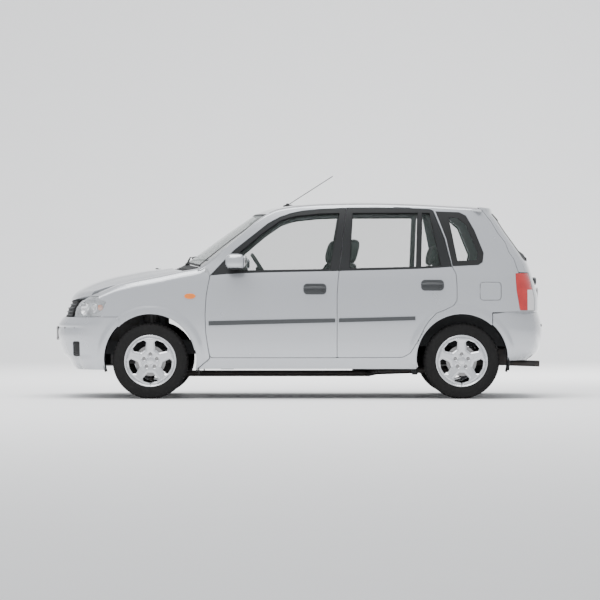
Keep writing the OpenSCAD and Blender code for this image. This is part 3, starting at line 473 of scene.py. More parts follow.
# ---- Finishes: every one is made of nodes on Object coordinates ----
def finish(name, colour, rough, metal=0.0, other=None, grain=40.0, mix=0.5, rough_by=0.06, bump=0.0,
           bump_scale=None, coat=0.0, coat_rough=0.05, alpha=1.0, weave=0.0, sheen=0.0, specular=0.5, stretch=None,
           transmission=0.0):
    """Principled finish: noise turns one colour into the other, moves the roughness and raises the bump."""
    m = bpy.data.materials.new(name)
    m.use_nodes = True
    tree = m.node_tree
    nodes, link = tree.nodes, tree.links.new
    b = nodes["Principled BSDF"]
    b.inputs["Metallic"].default_value = metal
    b.inputs["Coat Weight"].default_value = coat
    b.inputs["Coat Roughness"].default_value = coat_rough
    b.inputs["Alpha"].default_value = alpha
    b.inputs["Sheen Weight"].default_value = sheen
    b.inputs["Specular IOR Level"].default_value = specular
    b.inputs["Transmission Weight"].default_value = transmission
    where = nodes.new("ShaderNodeTexCoord")
    noise = nodes.new("ShaderNodeTexNoise")
    noise.inputs["Scale"].default_value = grain
    noise.inputs["Detail"].default_value = 4
    if stretch:
        mapping = nodes.new("ShaderNodeMapping")
        mapping.inputs["Scale"].default_value = stretch
        link(where.outputs["Object"], mapping.inputs["Vector"])
        link(mapping.outputs["Vector"], noise.inputs["Vector"])
    else:
        link(where.outputs["Object"], noise.inputs["Vector"])
    ramp_node = nodes.new("ShaderNodeValToRGB")
    ramp_node.color_ramp.elements[0].position = 0.5 - mix / 2
    ramp_node.color_ramp.elements[1].position = 0.5 + mix / 2
    other = other or [c * 0.86 for c in colour]
    ramp_node.color_ramp.elements[0].color = (*other, 1)
    ramp_node.color_ramp.elements[1].color = (*colour, 1)
    link(noise.outputs["Fac"], ramp_node.inputs["Fac"])
    link(ramp_node.outputs["Color"], b.inputs["Base Color"])
    spread = nodes.new("ShaderNodeMapRange")
    spread.inputs["To Min"].default_value = max(0.01, rough - rough_by)
    spread.inputs["To Max"].default_value = rough + rough_by
    broad = nodes.new("ShaderNodeTexNoise")
    broad.inputs["Scale"].default_value = 7
    link(where.outputs["Object"], broad.inputs["Vector"])
    link(broad.outputs["Fac"], spread.inputs["Value"])
    link(spread.outputs["Result"], b.inputs["Roughness"])
    height = None
    if weave:
        waves = []
        for direction in ("X", "Z"):
            wave = nodes.new("ShaderNodeTexWave")
            wave.bands_direction = direction
            wave.inputs["Scale"].default_value = weave
            wave.inputs["Distortion"].default_value = 0.6
            link(where.outputs["Object"], wave.inputs["Vector"])
            waves.append(wave)
        both = nodes.new("ShaderNodeMath")
        both.operation = "MAXIMUM"
        link(waves[0].outputs["Fac"], both.inputs[0])
        link(waves[1].outputs["Fac"], both.inputs[1])
        height = both.outputs["Value"]
    elif bump:
        pits = nodes.new("ShaderNodeTexNoise")
        pits.inputs["Scale"].default_value = bump_scale or grain
        pits.inputs["Detail"].default_value = 3
        link(where.outputs["Object"], pits.inputs["Vector"])
        height = pits.outputs["Fac"]
    if height is not None:
        raised = nodes.new("ShaderNodeBump")
        raised.inputs["Strength"].default_value = bump or 0.3
        raised.inputs["Distance"].default_value = 0.001
        link(height, raised.inputs["Height"])
        link(raised.outputs["Normal"], b.inputs["Normal"])
    return m


FINISHES = {
    "paint": dict(colour=(0.52, 0.535, 0.56), rough=0.26, metal=0.55, other=(0.45, 0.465, 0.49), grain=900, coat=1.0,
                  coat_rough=0.04, rough_by=0.03),
    "under_paint": dict(colour=(0.36, 0.37, 0.385), rough=0.5, metal=0.3, grain=60, bump=0.15, bump_scale=500),
    "floor_paint": dict(colour=(0.07, 0.072, 0.075), rough=0.72, grain=25, bump=0.4, bump_scale=260),
    "door_frame": dict(colour=(0.014, 0.015, 0.016), rough=0.42, grain=120, specular=0.3, rough_by=0.04),
    "black_plastic": dict(colour=(0.012, 0.0125, 0.013), rough=0.58, grain=90, bump=0.25, bump_scale=900, specular=0.3),
    "grey_plastic": dict(colour=(0.062, 0.065, 0.068), other=(0.05, 0.053, 0.056), rough=0.5, specular=0.35,
                         grain=140, bump=0.3, bump_scale=900),
    "lamp_clear": dict(colour=(0.93, 0.95, 0.96), rough=0.04, grain=8, rough_by=0.015, coat=1.0, alpha=0.22),
    "chrome": dict(colour=(0.88, 0.89, 0.9), rough=0.08, metal=1.0, grain=30, rough_by=0.03),
    "lamp_silver": dict(colour=(0.62, 0.64, 0.66), rough=0.22, metal=0.85, grain=60, rough_by=0.04),
    "red_lens": dict(colour=(0.52, 0.012, 0.01), other=(0.38, 0.006, 0.006), rough=0.12, grain=18, coat=1.0,
                     bump=0.5, bump_scale=140, rough_by=0.04),
    "clear_lens": dict(colour=(0.72, 0.70, 0.70), rough=0.14, grain=18, coat=1.0, bump=0.5, bump_scale=140,
                       rough_by=0.04),
    "amber_lens": dict(colour=(0.85, 0.22, 0.01), other=(0.75, 0.17, 0.01), rough=0.14, grain=30, coat=1.0, bump=0.4,
                       bump_scale=300),
    "window_glass": dict(colour=(0.10, 0.125, 0.115), other=(0.095, 0.12, 0.11), rough=0.02, grain=3, rough_by=0.005,
                         alpha=0.12, specular=0.4),
    "screen_glass": dict(colour=(0.20, 0.235, 0.22), other=(0.19, 0.225, 0.21), rough=0.03, grain=2, rough_by=0.005,
                         alpha=0.34, specular=0.4),
    "trim_plastic": dict(colour=(0.055, 0.06, 0.058), other=(0.045, 0.05, 0.048), rough=0.6, grain=160, bump=0.4,
                         bump_scale=700),
    "steering_rim": dict(colour=(0.025, 0.026, 0.026), rough=0.48, grain=200, bump=0.35, bump_scale=800),
    "seat_cloth": dict(colour=(0.085, 0.10, 0.095), other=(0.045, 0.055, 0.052), rough=0.9, grain=420, weave=120,
                       sheen=0.4, bump=0.35),
    "iron": dict(colour=(0.12, 0.12, 0.125), other=(0.08, 0.075, 0.07), rough=0.55, metal=0.7, grain=35, bump=0.4,
                 bump_scale=220),
    "black_steel": dict(colour=(0.03, 0.03, 0.032), other=(0.045, 0.036, 0.03), rough=0.55, metal=0.3, grain=40,
                        bump=0.3, bump_scale=300),
    "steel": dict(colour=(0.42, 0.42, 0.43), other=(0.30, 0.29, 0.28), rough=0.4, metal=0.9, grain=50, bump=0.2,
                  bump_scale=300),
    "tyre": dict(colour=(0.008, 0.008, 0.0085), other=(0.013, 0.0125, 0.012), rough=0.8, specular=0.2, grain=60,
                 bump=0.35, bump_scale=600, rough_by=0.1),
    "alloy": dict(colour=(0.66, 0.67, 0.69), other=(0.58, 0.59, 0.61), rough=0.27, metal=0.8, grain=500, coat=0.6,
                  coat_rough=0.08),
    "disc_steel": dict(colour=(0.34, 0.34, 0.35), other=(0.22, 0.21, 0.2), rough=0.35, metal=1.0, grain=220),
}


MADE = {}


def finish_of(name):
    """The named finish, made the first time it is asked for."""
    if name not in MADE:
        MADE[name] = finish(name, **FINISHES[name])
    return MADE[name]


def piece(name, body, made_of, *parts, replaces=(), bevel=0.0, smooth_angle=40, subdivide=0):
    """One closed mesh of the parts in metres, with its finish, on its body; hard rims get a small round."""
    points, faces = joined(*parts)
    keep = [list(dict.fromkeys(f)) for f in faces.tolist()]
    mesh = bpy.data.meshes.new(name)
    mesh.from_pydata((points * MM).tolist(), [], [f for f in keep if len(f) > 2])
    mesh.validate()
    mesh.shade_smooth()
    mesh.set_sharp_from_angle(angle=np.radians(smooth_angle))
    o = bpy.data.objects.new(name, mesh)
    bpy.context.scene.collection.objects.link(o)
    mesh.materials.append(finish_of(made_of))
    if bevel:
        b = o.modifiers.new("round", "BEVEL")
        b.width = bevel * MM
        b.segments = 2
        b.limit_method = "ANGLE"
        b.angle_limit = np.radians(60)
        b.harden_normals = False
    if subdivide:
        d = o.modifiers.new("smooth", "SUBSURF")
        d.levels = d.render_levels = subdivide
    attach(o, body)
    if replaces:
        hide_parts(*replaces)
    return o


def two(part):
    """A part and its mirror image."""
    return part, mirrored(part)


# ---- Body panels ----
def arch_cut(grow=0.0):
    """Both wheel-arch openings in the side."""
    return any_of(disc(FRONT_X, ARCH_Z, ARCH_R + grow), disc(REAR_X, ARCH_Z, ARCH_R + grow))


def above_belt(x, z):
    """Negative above the line where the doors' paint ends."""
    return smooth(x, BELT) - z


def side_outline():
    """Outline of the body side that the doors leave, closed along the roof rail."""
    xs = np.linspace(1416, -750, 60)
    top = np.column_stack([xs, smooth(xs, EDGE_Z) - 16])
    return np.concatenate([[[-786, 231], [1474, 231], [1474, 666], [1720, 676], [1720, 1500], [1440, 1500]], top,
                           [[-712, 1000], [-686, 948], [-690, 300]]])


def side_skin(s):
    """Outer skin of one body side."""
    level = both_of(inside(side_outline()), outside(inside(FRONT_DOOR, 5.6)), outside(inside(REAR_DOOR, 5.6)),
                    outside(arch_cut()), outside(inside(QUARTER_GLASS, 6)), outside(inside(TAIL_LINE, 5.6)),
                    outside(inside(LAMP_LINE, 1.5)))
    left_only = outside(slot_shape(1462.5, 826.5, 166, 141, 28))
    make = lambda f: cut_sheet(side, f, (-790, 1704), (225, 1498), s.cell / MM, s.skin / MM, s.lift / MM, flip=True)
    return make(level), mirrored(make(both_of(level, left_only)))


def rail_skin(x0, x1, drop, n, s):
    """Rolled upper edge of the side as one smooth strip."""
    surface = lambda x, q: rail(x, q / 100, drop)
    return grid_sheet(surface, np.linspace(x0, x1, n), np.linspace(0.5, 99.5, 9), 8, s.lift / MM, flip=True)


def fender_skin(s):
    """Front fender's flank, cut by the arch, the lamp and the lines next to its neighbours."""
    xs = np.linspace(-1546, -726, 30)
    under = np.column_stack([xs, smooth(xs, EDGE_Z) - 57])
    outline = np.concatenate([under, [[-706, 962], [-694, 944], [-707, 880], [-723, 790], [-731, 650], [-727, 520],
                              [-713, 420], [-695, 314], [-795, 231], [-1300, 200], [-1395, 300], [-1395, 630.5],
                              [-1534, 630.5], [-1484, 746]]])
    level = both_of(inside(outline, 0.6), outside(disc(FRONT_X, ARCH_Z, ARCH_R)))
    return cut_sheet(side, level, (-1560, -688), (205, 968), s.cell / MM, s.skin / MM, s.lift / MM, flip=True)


def fender_top(s):
    """Top of the fender: its rolled edge as far back as the corner under the windscreen."""
    surface = lambda x, q: rail(x, q / 100, 60)
    level = lambda x, q: np.maximum(-1545 - x, x + 728 - 0.25 * (q - 20))
    return cut_sheet(surface, level, (-1550, -700), (0.5, 99.5), 9, 8, s.lift / MM, flip=True)


def tail_level(s, v):
    """Tailgate's outline seen along the car's side, on the rear surface's own two parameters."""
    z = smooth(v, LID_RUN, 1)
    return inside(TAIL_LINE, 1.2)(rear_at(s, z)[0], z)


def rear_window_level(grow):
    """Rear window's outline seen from behind, on the rear surface's parameters."""
    hole = inside([[-540, 1095], [540, 1095], [462, 1395], [-462, 1395]], 20 + grow)
    def level(s, v):
        z = smooth(v, LID_RUN, 1)
        return hole(rear_at(s, z)[1], z)
    return level


class BodySettings(bpy.types.PropertyGroup):
    """Sizes and colour of the outer skins."""
    paint: bpy.props.FloatVectorProperty(name="Paint", description="Colour of the body paint", subtype="COLOR", size=3,
                                         min=0, max=1, default=FINISHES["paint"]["colour"])
    cell: bpy.props.FloatProperty(name="Mesh cell", description="Size of one cell of a panel's mesh", unit="LENGTH",
                                  default=0.012, min=0.006, max=0.04)
    skin: bpy.props.FloatProperty(name="Skin", description="Thickness of an outer skin", unit="LENGTH",
                                  default=0.0095, min=0.004, max=0.012)
    lift: bpy.props.FloatProperty(name="Lift", description="How far a skin stands over the panel that carries it",
                                  unit="LENGTH", default=0.0025, min=0.001, max=0.006)
    edge: bpy.props.FloatProperty(name="Edge", description="Round along the rim of a skin", unit="LENGTH",
                                  default=0.002, min=0.0005, max=0.004)


class HATCH_OT_body(bpy.types.Operator):
    """Builds the skins of the body: sides, rails, fenders, roof, hood and fuel flap"""
    bl_idname = "hatch.body"
    bl_label = "Body skins"

    def execute(self, context):
        s = context.scene.hatch_body
        FINISHES["paint"]["colour"] = tuple(s.paint)
        edge, skin, lift = s.edge / MM, s.skin / MM, s.lift / MM
        right, left = side_skin(s)
        piece("side_skin", "car", "paint", right, left, bevel=edge)
        piece("rail_skin", "car", "paint", *two(rail_skin(-770, 1404, 20, 120, s)), bevel=edge)
        piece("fender_skin", "car", "paint", *two(fender_skin(s)), bevel=edge)
        piece("fender_top_skin", "car", "paint", *two(fender_top(s)), bevel=edge)
        roof = grid_sheet(roof_surface, np.linspace(-350, 1380, 110), np.linspace(-1000, 1000, 61), 8, lift, flip=False)
        piece("roof_skin", "car", "paint", roof, bevel=edge)
        hood = grid_sheet(hood_surface, np.linspace(0, 1000, 70), np.linspace(-1000, 1000, 91), 8, lift, flip=False)
        piece("hood_skin", "hood", "paint", hood, bevel=edge)
        flap = cut_sheet(side, slot_shape(1462.5, 826.5, 158, 133, 24), (1370, 1555), (750, 902), 8, 5, lift, flip=True)
        piece("fuel_flap_skin", "fuel_flap", "paint", mirrored(flap), bevel=1.5)
        xs = np.linspace(-235, 1372, 70)
        ditch = np.column_stack([xs, smooth(xs, EDGE_Y) - 8, smooth(xs, EDGE_Z) + 0.5])
        piece("roof_moulding", "car", "black_plastic", *two(tube(ditch, 8.5, 10, 0.55)))
        return {"FINISHED"}


class HATCH_OT_doors(bpy.types.Operator):
    """Builds each door's painted skin, its dark window frame, its seal and its inner card"""
    bl_idname = "hatch.doors"
    bl_label = "Door skins"

    def execute(self, context):
        s = context.scene.hatch_body
        edge, skin, lift, cell = s.edge / MM, s.skin / MM, s.lift / MM, s.cell / MM
        jobs = (("front", FRONT_DOOR, [FRONT_WINDOW], (-735, 366)),
                ("rear", REAR_DOOR, [REAR_WINDOW, VENT_WINDOW], (278, 1212)))
        for name, line, windows, span in jobs:
            whole = inside(line, 1.2)
            holes = outside(any_of(*[inside(w) for w in windows]))
            low = cut_sheet(side, both_of(whole, outside(above_belt)), span, (312, 1020), cell, skin, lift, flip=True)
            frame_part = cut_sheet(side, both_of(whole, above_belt, holes), span, (935, 1474), 8, skin, lift, flip=True)
            card_level = both_of(inside(line, -62), lambda x, z: z - 960)
            card = cut_sheet(side, card_level, span, (330, 975), 16, 3, -84.5, flip=True)
            rest = cut_sheet(side, slot_shape(sum(span) / 2 - 10, 690, 430, 62, 28), span, (640, 740), 9, 34, -86,
                             flip=True)
            seals = [cut_sheet(side, both_of(inside(w, 5), outside(inside(w, -5))), span, (960, 1460), 5, 6, -11.5,
                               flip=True) for w in windows]
            for where, parts in (("right", lambda p: p), ("left", mirrored)):
                body = f"{name}_door_{where}"
                piece(f"{body}_skin", body, "paint", parts(low), bevel=edge)
                piece(f"{body}_frame", body, "door_frame", parts(frame_part), bevel=1.5)
                piece(f"{body}_card", body, "trim_plastic", parts(card), parts(rest), bevel=2)
                piece(f"{body}_seal", body, "black_plastic", *[parts(p) for p in seals])
        return {"FINISHED"}


class HATCH_OT_tailgate(bpy.types.Operator):
    """Builds the tailgate's skin, its window, its wiper, its handle and the blank plate"""
    bl_idname = "hatch.tailgate"
    bl_label = "Tailgate"

    def execute(self, context):
        s = context.scene.hatch_body
        edge, lift, cell = s.edge / MM, s.lift / MM, s.cell / MM
        around, up = (60, 2 * REAR_HALF - 60), (0, LID_LEN)
        level = both_of(tail_level, outside(rear_window_level(0)))
        skin = cut_sheet(rear_surface, level, around, up, cell, 9.5, lift, flip=True)
        piece("tailgate_skin", "tailgate", "paint", skin, bevel=edge)
        band = both_of(rear_window_level(14), outside(rear_window_level(-34)))
        piece("tailgate_window_band", "tailgate", "black_plastic",
              cut_sheet(rear_surface, band, around, up, 9, 4, lift + 0.4, flip=True), bevel=1.2)
        pane = cut_sheet(rear_surface, rear_window_level(2), around, up, 20, 4, -3, flip=True)
        piece("tailgate_pane", "tailgate", "window_glass", pane, replaces=("tailgate_glass",))
        mid = REAR_HALF
        def at(ds, z, out):
            v = float(np.interp(z, LID_RUN[:, 1], LID_RUN[:, 0]))
            p = rear_surface(np.array([mid - ds]), np.array([v]))[0]
            return p + np.array([out, 0, out * 0.35])
        arm = np.array([at(0, 1080, 12), at(60, 1110, 20), at(230, 1150, 16), at(400, 1180, 13)])
        blade = np.array([at(70, 1122, 8), at(230, 1166, 8), at(430, 1200, 8)])
        piece("rear_wiper", "tailgate", "black_plastic", tube(arm, [11, 8, 6, 4], 10), tube(blade, 5, 8),
              pill(at(0, 1070, 6), (34, 60, 52), 3))
        grip = at(0, 905, 4)
        piece("tailgate_handle", "tailgate", "grey_plastic", pill(grip, (30, 620, 62), 5, 20, 60), bevel=0)
        plate = at(0, 800, 2)
        piece("rear_plate", "tailgate", "clear_lens", pill(plate, (9, 470, 112), 12, 16, 48))
        return {"FINISHED"}


class HATCH_OT_glass(bpy.types.Operator):
    """Builds the windscreen, the door glass and the rear side windows with their black surrounds"""
    bl_idname = "hatch.glass"
    bl_label = "Glass"

    def execute(self, context):
        us, ws = np.linspace(4, 996, 30), np.linspace(-985, 985, 45)
        screen = grid_sheet(screen_surface, us, ws, 5, 1, flip=False)
        piece("windscreen_pane", "car", "screen_glass", screen, replaces=("windscreen",))
        rim = lambda u, w: np.maximum(np.maximum(30 - u, u - 965), np.abs(w) - 955)
        band = cut_sheet(screen_surface, outside(rim), (4, 996), (-992, 992), 14, 1.5, 2.6, flip=False)
        piece("windscreen_band", "car", "black_plastic", band)
        for name, windows, span in (("front", [FRONT_WINDOW], (-500, 330)),
                                    ("rear", [REAR_WINDOW, VENT_WINDOW], (350, 1110))):
            panes = [cut_sheet(side, inside(w, 8), span, (970, 1445), 20, 4, -18.3, flip=True) for w in windows]
            for where, parts in (("right", lambda p: p), ("left", mirrored)):
                piece(f"{name}_pane_{where}", f"{name}_door_{where}", "window_glass", *[parts(p) for p in panes],
                      replaces=(f"{name}_glass_{where}",))
        pane = cut_sheet(side, inside(QUARTER_GLASS, 4), (1100, 1400), (1030, 1420), 16, 4, -2, flip=True)
        piece("quarter_panes", "car", "window_glass", *two(pane), replaces=("quarter_windows",))
        around = both_of(inside(QUARTER_SURROUND), outside(inside(QUARTER_GLASS, -12)))
        surround = cut_sheet(side, around, (1030, 1420), (1010, 1448), 7, 5, 5, flip=True)
        piece("quarter_surrounds", "car", "black_plastic", *two(surround), bevel=1.5)
        return {"FINISHED"}


def at_side(x, z, out=0.0):
    """A place on the right side at a distance out from the skin."""
    p = side(np.array([float(x)]), np.array([float(z)]))[0]
    return p + np.array([0, out, 0])


class HATCH_OT_lamps(bpy.types.Operator):
    """Builds the headlamps with their reflectors, the tail lamps, the markers and the grille"""
    bl_idname = "hatch.lamps"
    bl_label = "Lamps and grille"

    def execute(self, context):
        s0 = float(FASCIA_RUN[4, 0]) + 6
        s1 = float(FASCIA_RUN[-1, 0])
        lens_line = inside([[-1752, 629], [-1745, 700], [-1694, 748], [-1621, 786], [-1548, 784], [-1484, 746],
                            [-1532, 632]], 0)
        def lens_level(s, z):
            x = fascia(s, z)[..., 0]
            return np.maximum.reduce([s0 - s, lens_line(x, z)])
        lens = cut_sheet(fascia, lens_level, (s0 - 4, s1), (626.5, 790), 7, 4, 3, flip=True)
        piece("headlamp_lenses", "car", "lamp_clear", *two(lens), replaces=("headlights",), bevel=1)
        tray = cut_sheet(fascia, lens_level, (s0 - 4, s1), (626.5, 790), 9, 4, -46, flip=True)
        rim = cut_sheet(fascia, both_of(lens_level, lambda s, z: -lens_level(s, z) - 9), (s0 - 4, s1), (626.5, 790),
                        5, 44, -2, flip=True)
        piece("headlamp_trays", "car", "lamp_silver", *two(tray), *two(rim))
        bowls, bulbs = [], []
        for x, y, z, r in ((-1668, 596, 693, 52), (-1588, 668, 700, 40)):
            t = np.linspace(0, 1, 14)
            shape = np.column_stack([4 + (r - 4) * t ** 0.75, -34 + 36 * t ** 2])
            shape = np.concatenate([shape, np.column_stack([shape[::-1, 0] + 2.5, shape[::-1, 1] - 3])])
            bowl = lathe(shape, (0, 0, 0), 40, "x", -1)
            turn = turned("z", -32)
            bowls.append((bowl[0] @ turn.T + [x, y, z], bowl[1]))
            bulbs.append(pill((x - 6, y + 4, z), (30, 18, 18), 2.4))
        piece("headlamp_reflectors", "car", "chrome", *[q for p in bowls for q in two(p)])
        piece("headlamp_bulbs", "car", "clear_lens", *[q for p in bulbs for q in two(p)])
        piece("headlamp_indicators", "car", "amber_lens", *two(pill((-1535, 716, 700), (40, 26, 46), 2.6)))
        half = lambda f: (lambda s, v: f(rear_at(s, smooth(v, LID_RUN, 1))[0], smooth(v, LID_RUN, 1)))
        lamp = half(inside(LAMP_LINE, 0.5))
        clear = half(both_of(inside(LAMP_LINE, 0.5), inside([[1746, 672], [1830, 672], [1830, 838], [1746, 838]], -1)))
        span, up = (330, 700), (0, 330)
        red = cut_sheet(rear_surface, both_of(lamp, outside(clear)), span, up, 6, 10, 4.5, flip=True)
        white = cut_sheet(rear_surface, clear, span, up, 6, 10, 4.5, flip=True)
        piece("tail_lamp_red", "car", "red_lens", *two(red), replaces=("tail_lights",), bevel=2)
        piece("tail_lamp_clear", "car", "clear_lens", *two(white), bevel=2)
        back = cut_sheet(rear_surface, lamp, span, up, 12, 5, -30, flip=True)
        piece("tail_lamp_backs", "car", "lamp_silver", *two(back))
        oval = lambda x, z: (np.hypot((x + 844) / 43, (z - 788) / 21) - 1) * 21
        mark = cut_sheet(side, oval, (-895, -793), (760, 816), 4, 6, 7, flip=True)
        piece("side_markers", "car", "amber_lens", *two(mark), bevel=2)
        bars = []
        for z in (640, 668, 696, 724):
            ss = np.linspace(-430, 430, 60)
            p = fascia(ss, np.full(60, float(z))) + [2, 0, 0]
            bars.append(tube(p, 9, 10, 0.62))
        piece("grille_bars", "car", "grey_plastic", *bars)
        rim_path = [fascia(np.array([float(a)]), np.array([float(b)]))[0] + [-1, 0, 0] for a, b in
                    [(s, 632) for s in np.linspace(-462, 462, 30)] + [(468, 660), (470, 700), (462, 738)]
                    + [(s, 746) for s in np.linspace(450, -450, 30)] + [(-462, 738), (-470, 700), (-468, 660)]]
        ring = tube(np.array(rim_path + rim_path[:2]), 7, 8, ends=True)
        piece("grille_frame", "car", "black_plastic", ring)
        return {"FINISHED"}


class HATCH_OT_bumpers(bpy.types.Operator):
    """Builds the two bumper skins with their slots, the mesh behind them and the blank front plate"""
    bl_idname = "hatch.bumpers"
    bl_label = "Bumpers"

    def execute(self, context):
        s = context.scene.hatch_body
        front_plan = [[-1392, 803], [-1440, 801]] + FRONT_PLAN
        plain, length = bumper(front_plan, FRONT_NOSE)
        def front(u, z):
            p = plain(u, z)
            w = ramp((np.abs(p[..., 1]) - 690) / 80)
            p[..., 1] += np.sign(p[..., 1]) * flare(p[..., 0], p[..., 2]) * w
            p[..., 0] += 5 * np.exp(-((z - 545) / 12) ** 2) * (1 - w)
            return p
        def front_level(u, z):
            p = front(u, z)
            x, y = p[..., 0], p[..., 1]
            slots = any_of(slot_shape(0, 358, 860, 26, 10), slot_shape(0, 402, 860, 26, 10),
                           slot_shape(0, 438, 850, 22, 9))
            duct = slot_shape(-1722, 384, 56, 116, 12)
            return np.maximum.reduce([-disc(FRONT_X, ARCH_Z, ARCH_R)(x, z), -slots(y, z),
                                      np.where(np.abs(y) > 480, -duct(x, z), -50.0)])
        skin = cut_sheet(front, front_level, (0, 2 * length), (223, 627), 9, 9, 2.5, flip=False)
        piece("front_bumper_skin", "car", "paint", skin, bevel=3)
        mesh_level = lambda u, z: np.maximum(np.abs(plain(u, z)[..., 1]) - 720, 325 - z)
        back = cut_sheet(plain, both_of(mesh_level, lambda u, z: z - 460), (0, 2 * length), (320, 462), 16, 4, -31,
                         flip=False)
        piece("bumper_mesh", "car", "black_plastic", back)
        fins = []
        for z in (346, 371, 396, 421):
            u = np.linspace(float(by_length(front_plan)[5, 0]) - 70, float(by_length(front_plan)[5, 0]) + 70, 12)
            fins.append(tube(plain(u, np.full(12, float(z))) + [10, -12, 0], 5, 8, 0.6))
        piece("duct_fins", "car", "black_plastic", *[q for f in fins for q in two(f)])
        rear_plain, rear_len = bumper(REAR_BUMPER_PLAN, REAR_NOSE)
        def rear(u, z):
            p = rear_plain(u, z)
            w = ramp((np.abs(p[..., 1]) - 700) / 80)
            p[..., 1] += np.sign(p[..., 1]) * flare(p[..., 0], p[..., 2]) * w
            return p
        def rear_level(u, z):
            p = rear(u, z)
            top = 654 + 19 * ramp((p[..., 0] - 1480) / 190)
            return np.maximum(-disc(REAR_X, ARCH_Z, ARCH_R)(p[..., 0], z), z - top)
        skin = cut_sheet(rear, rear_level, (0, 2 * rear_len), (296, 668), 9, 9, 2.5, flip=True)
        piece("rear_bumper_skin", "car", "paint", skin, bevel=3)
        strip_u = np.linspace(rear_len - 430, rear_len + 430, 90)
        strip = tube(rear_plain(strip_u, np.full(90, 560.0)), 6, 8, 2.2)
        piece("rear_bumper_strip", "car", "grey_plastic", strip)
        piece("front_plate", "car", "clear_lens", pill((-1906, 0, 500), (10, 470, 112), 12, 16, 48))
        return {"FINISHED"}


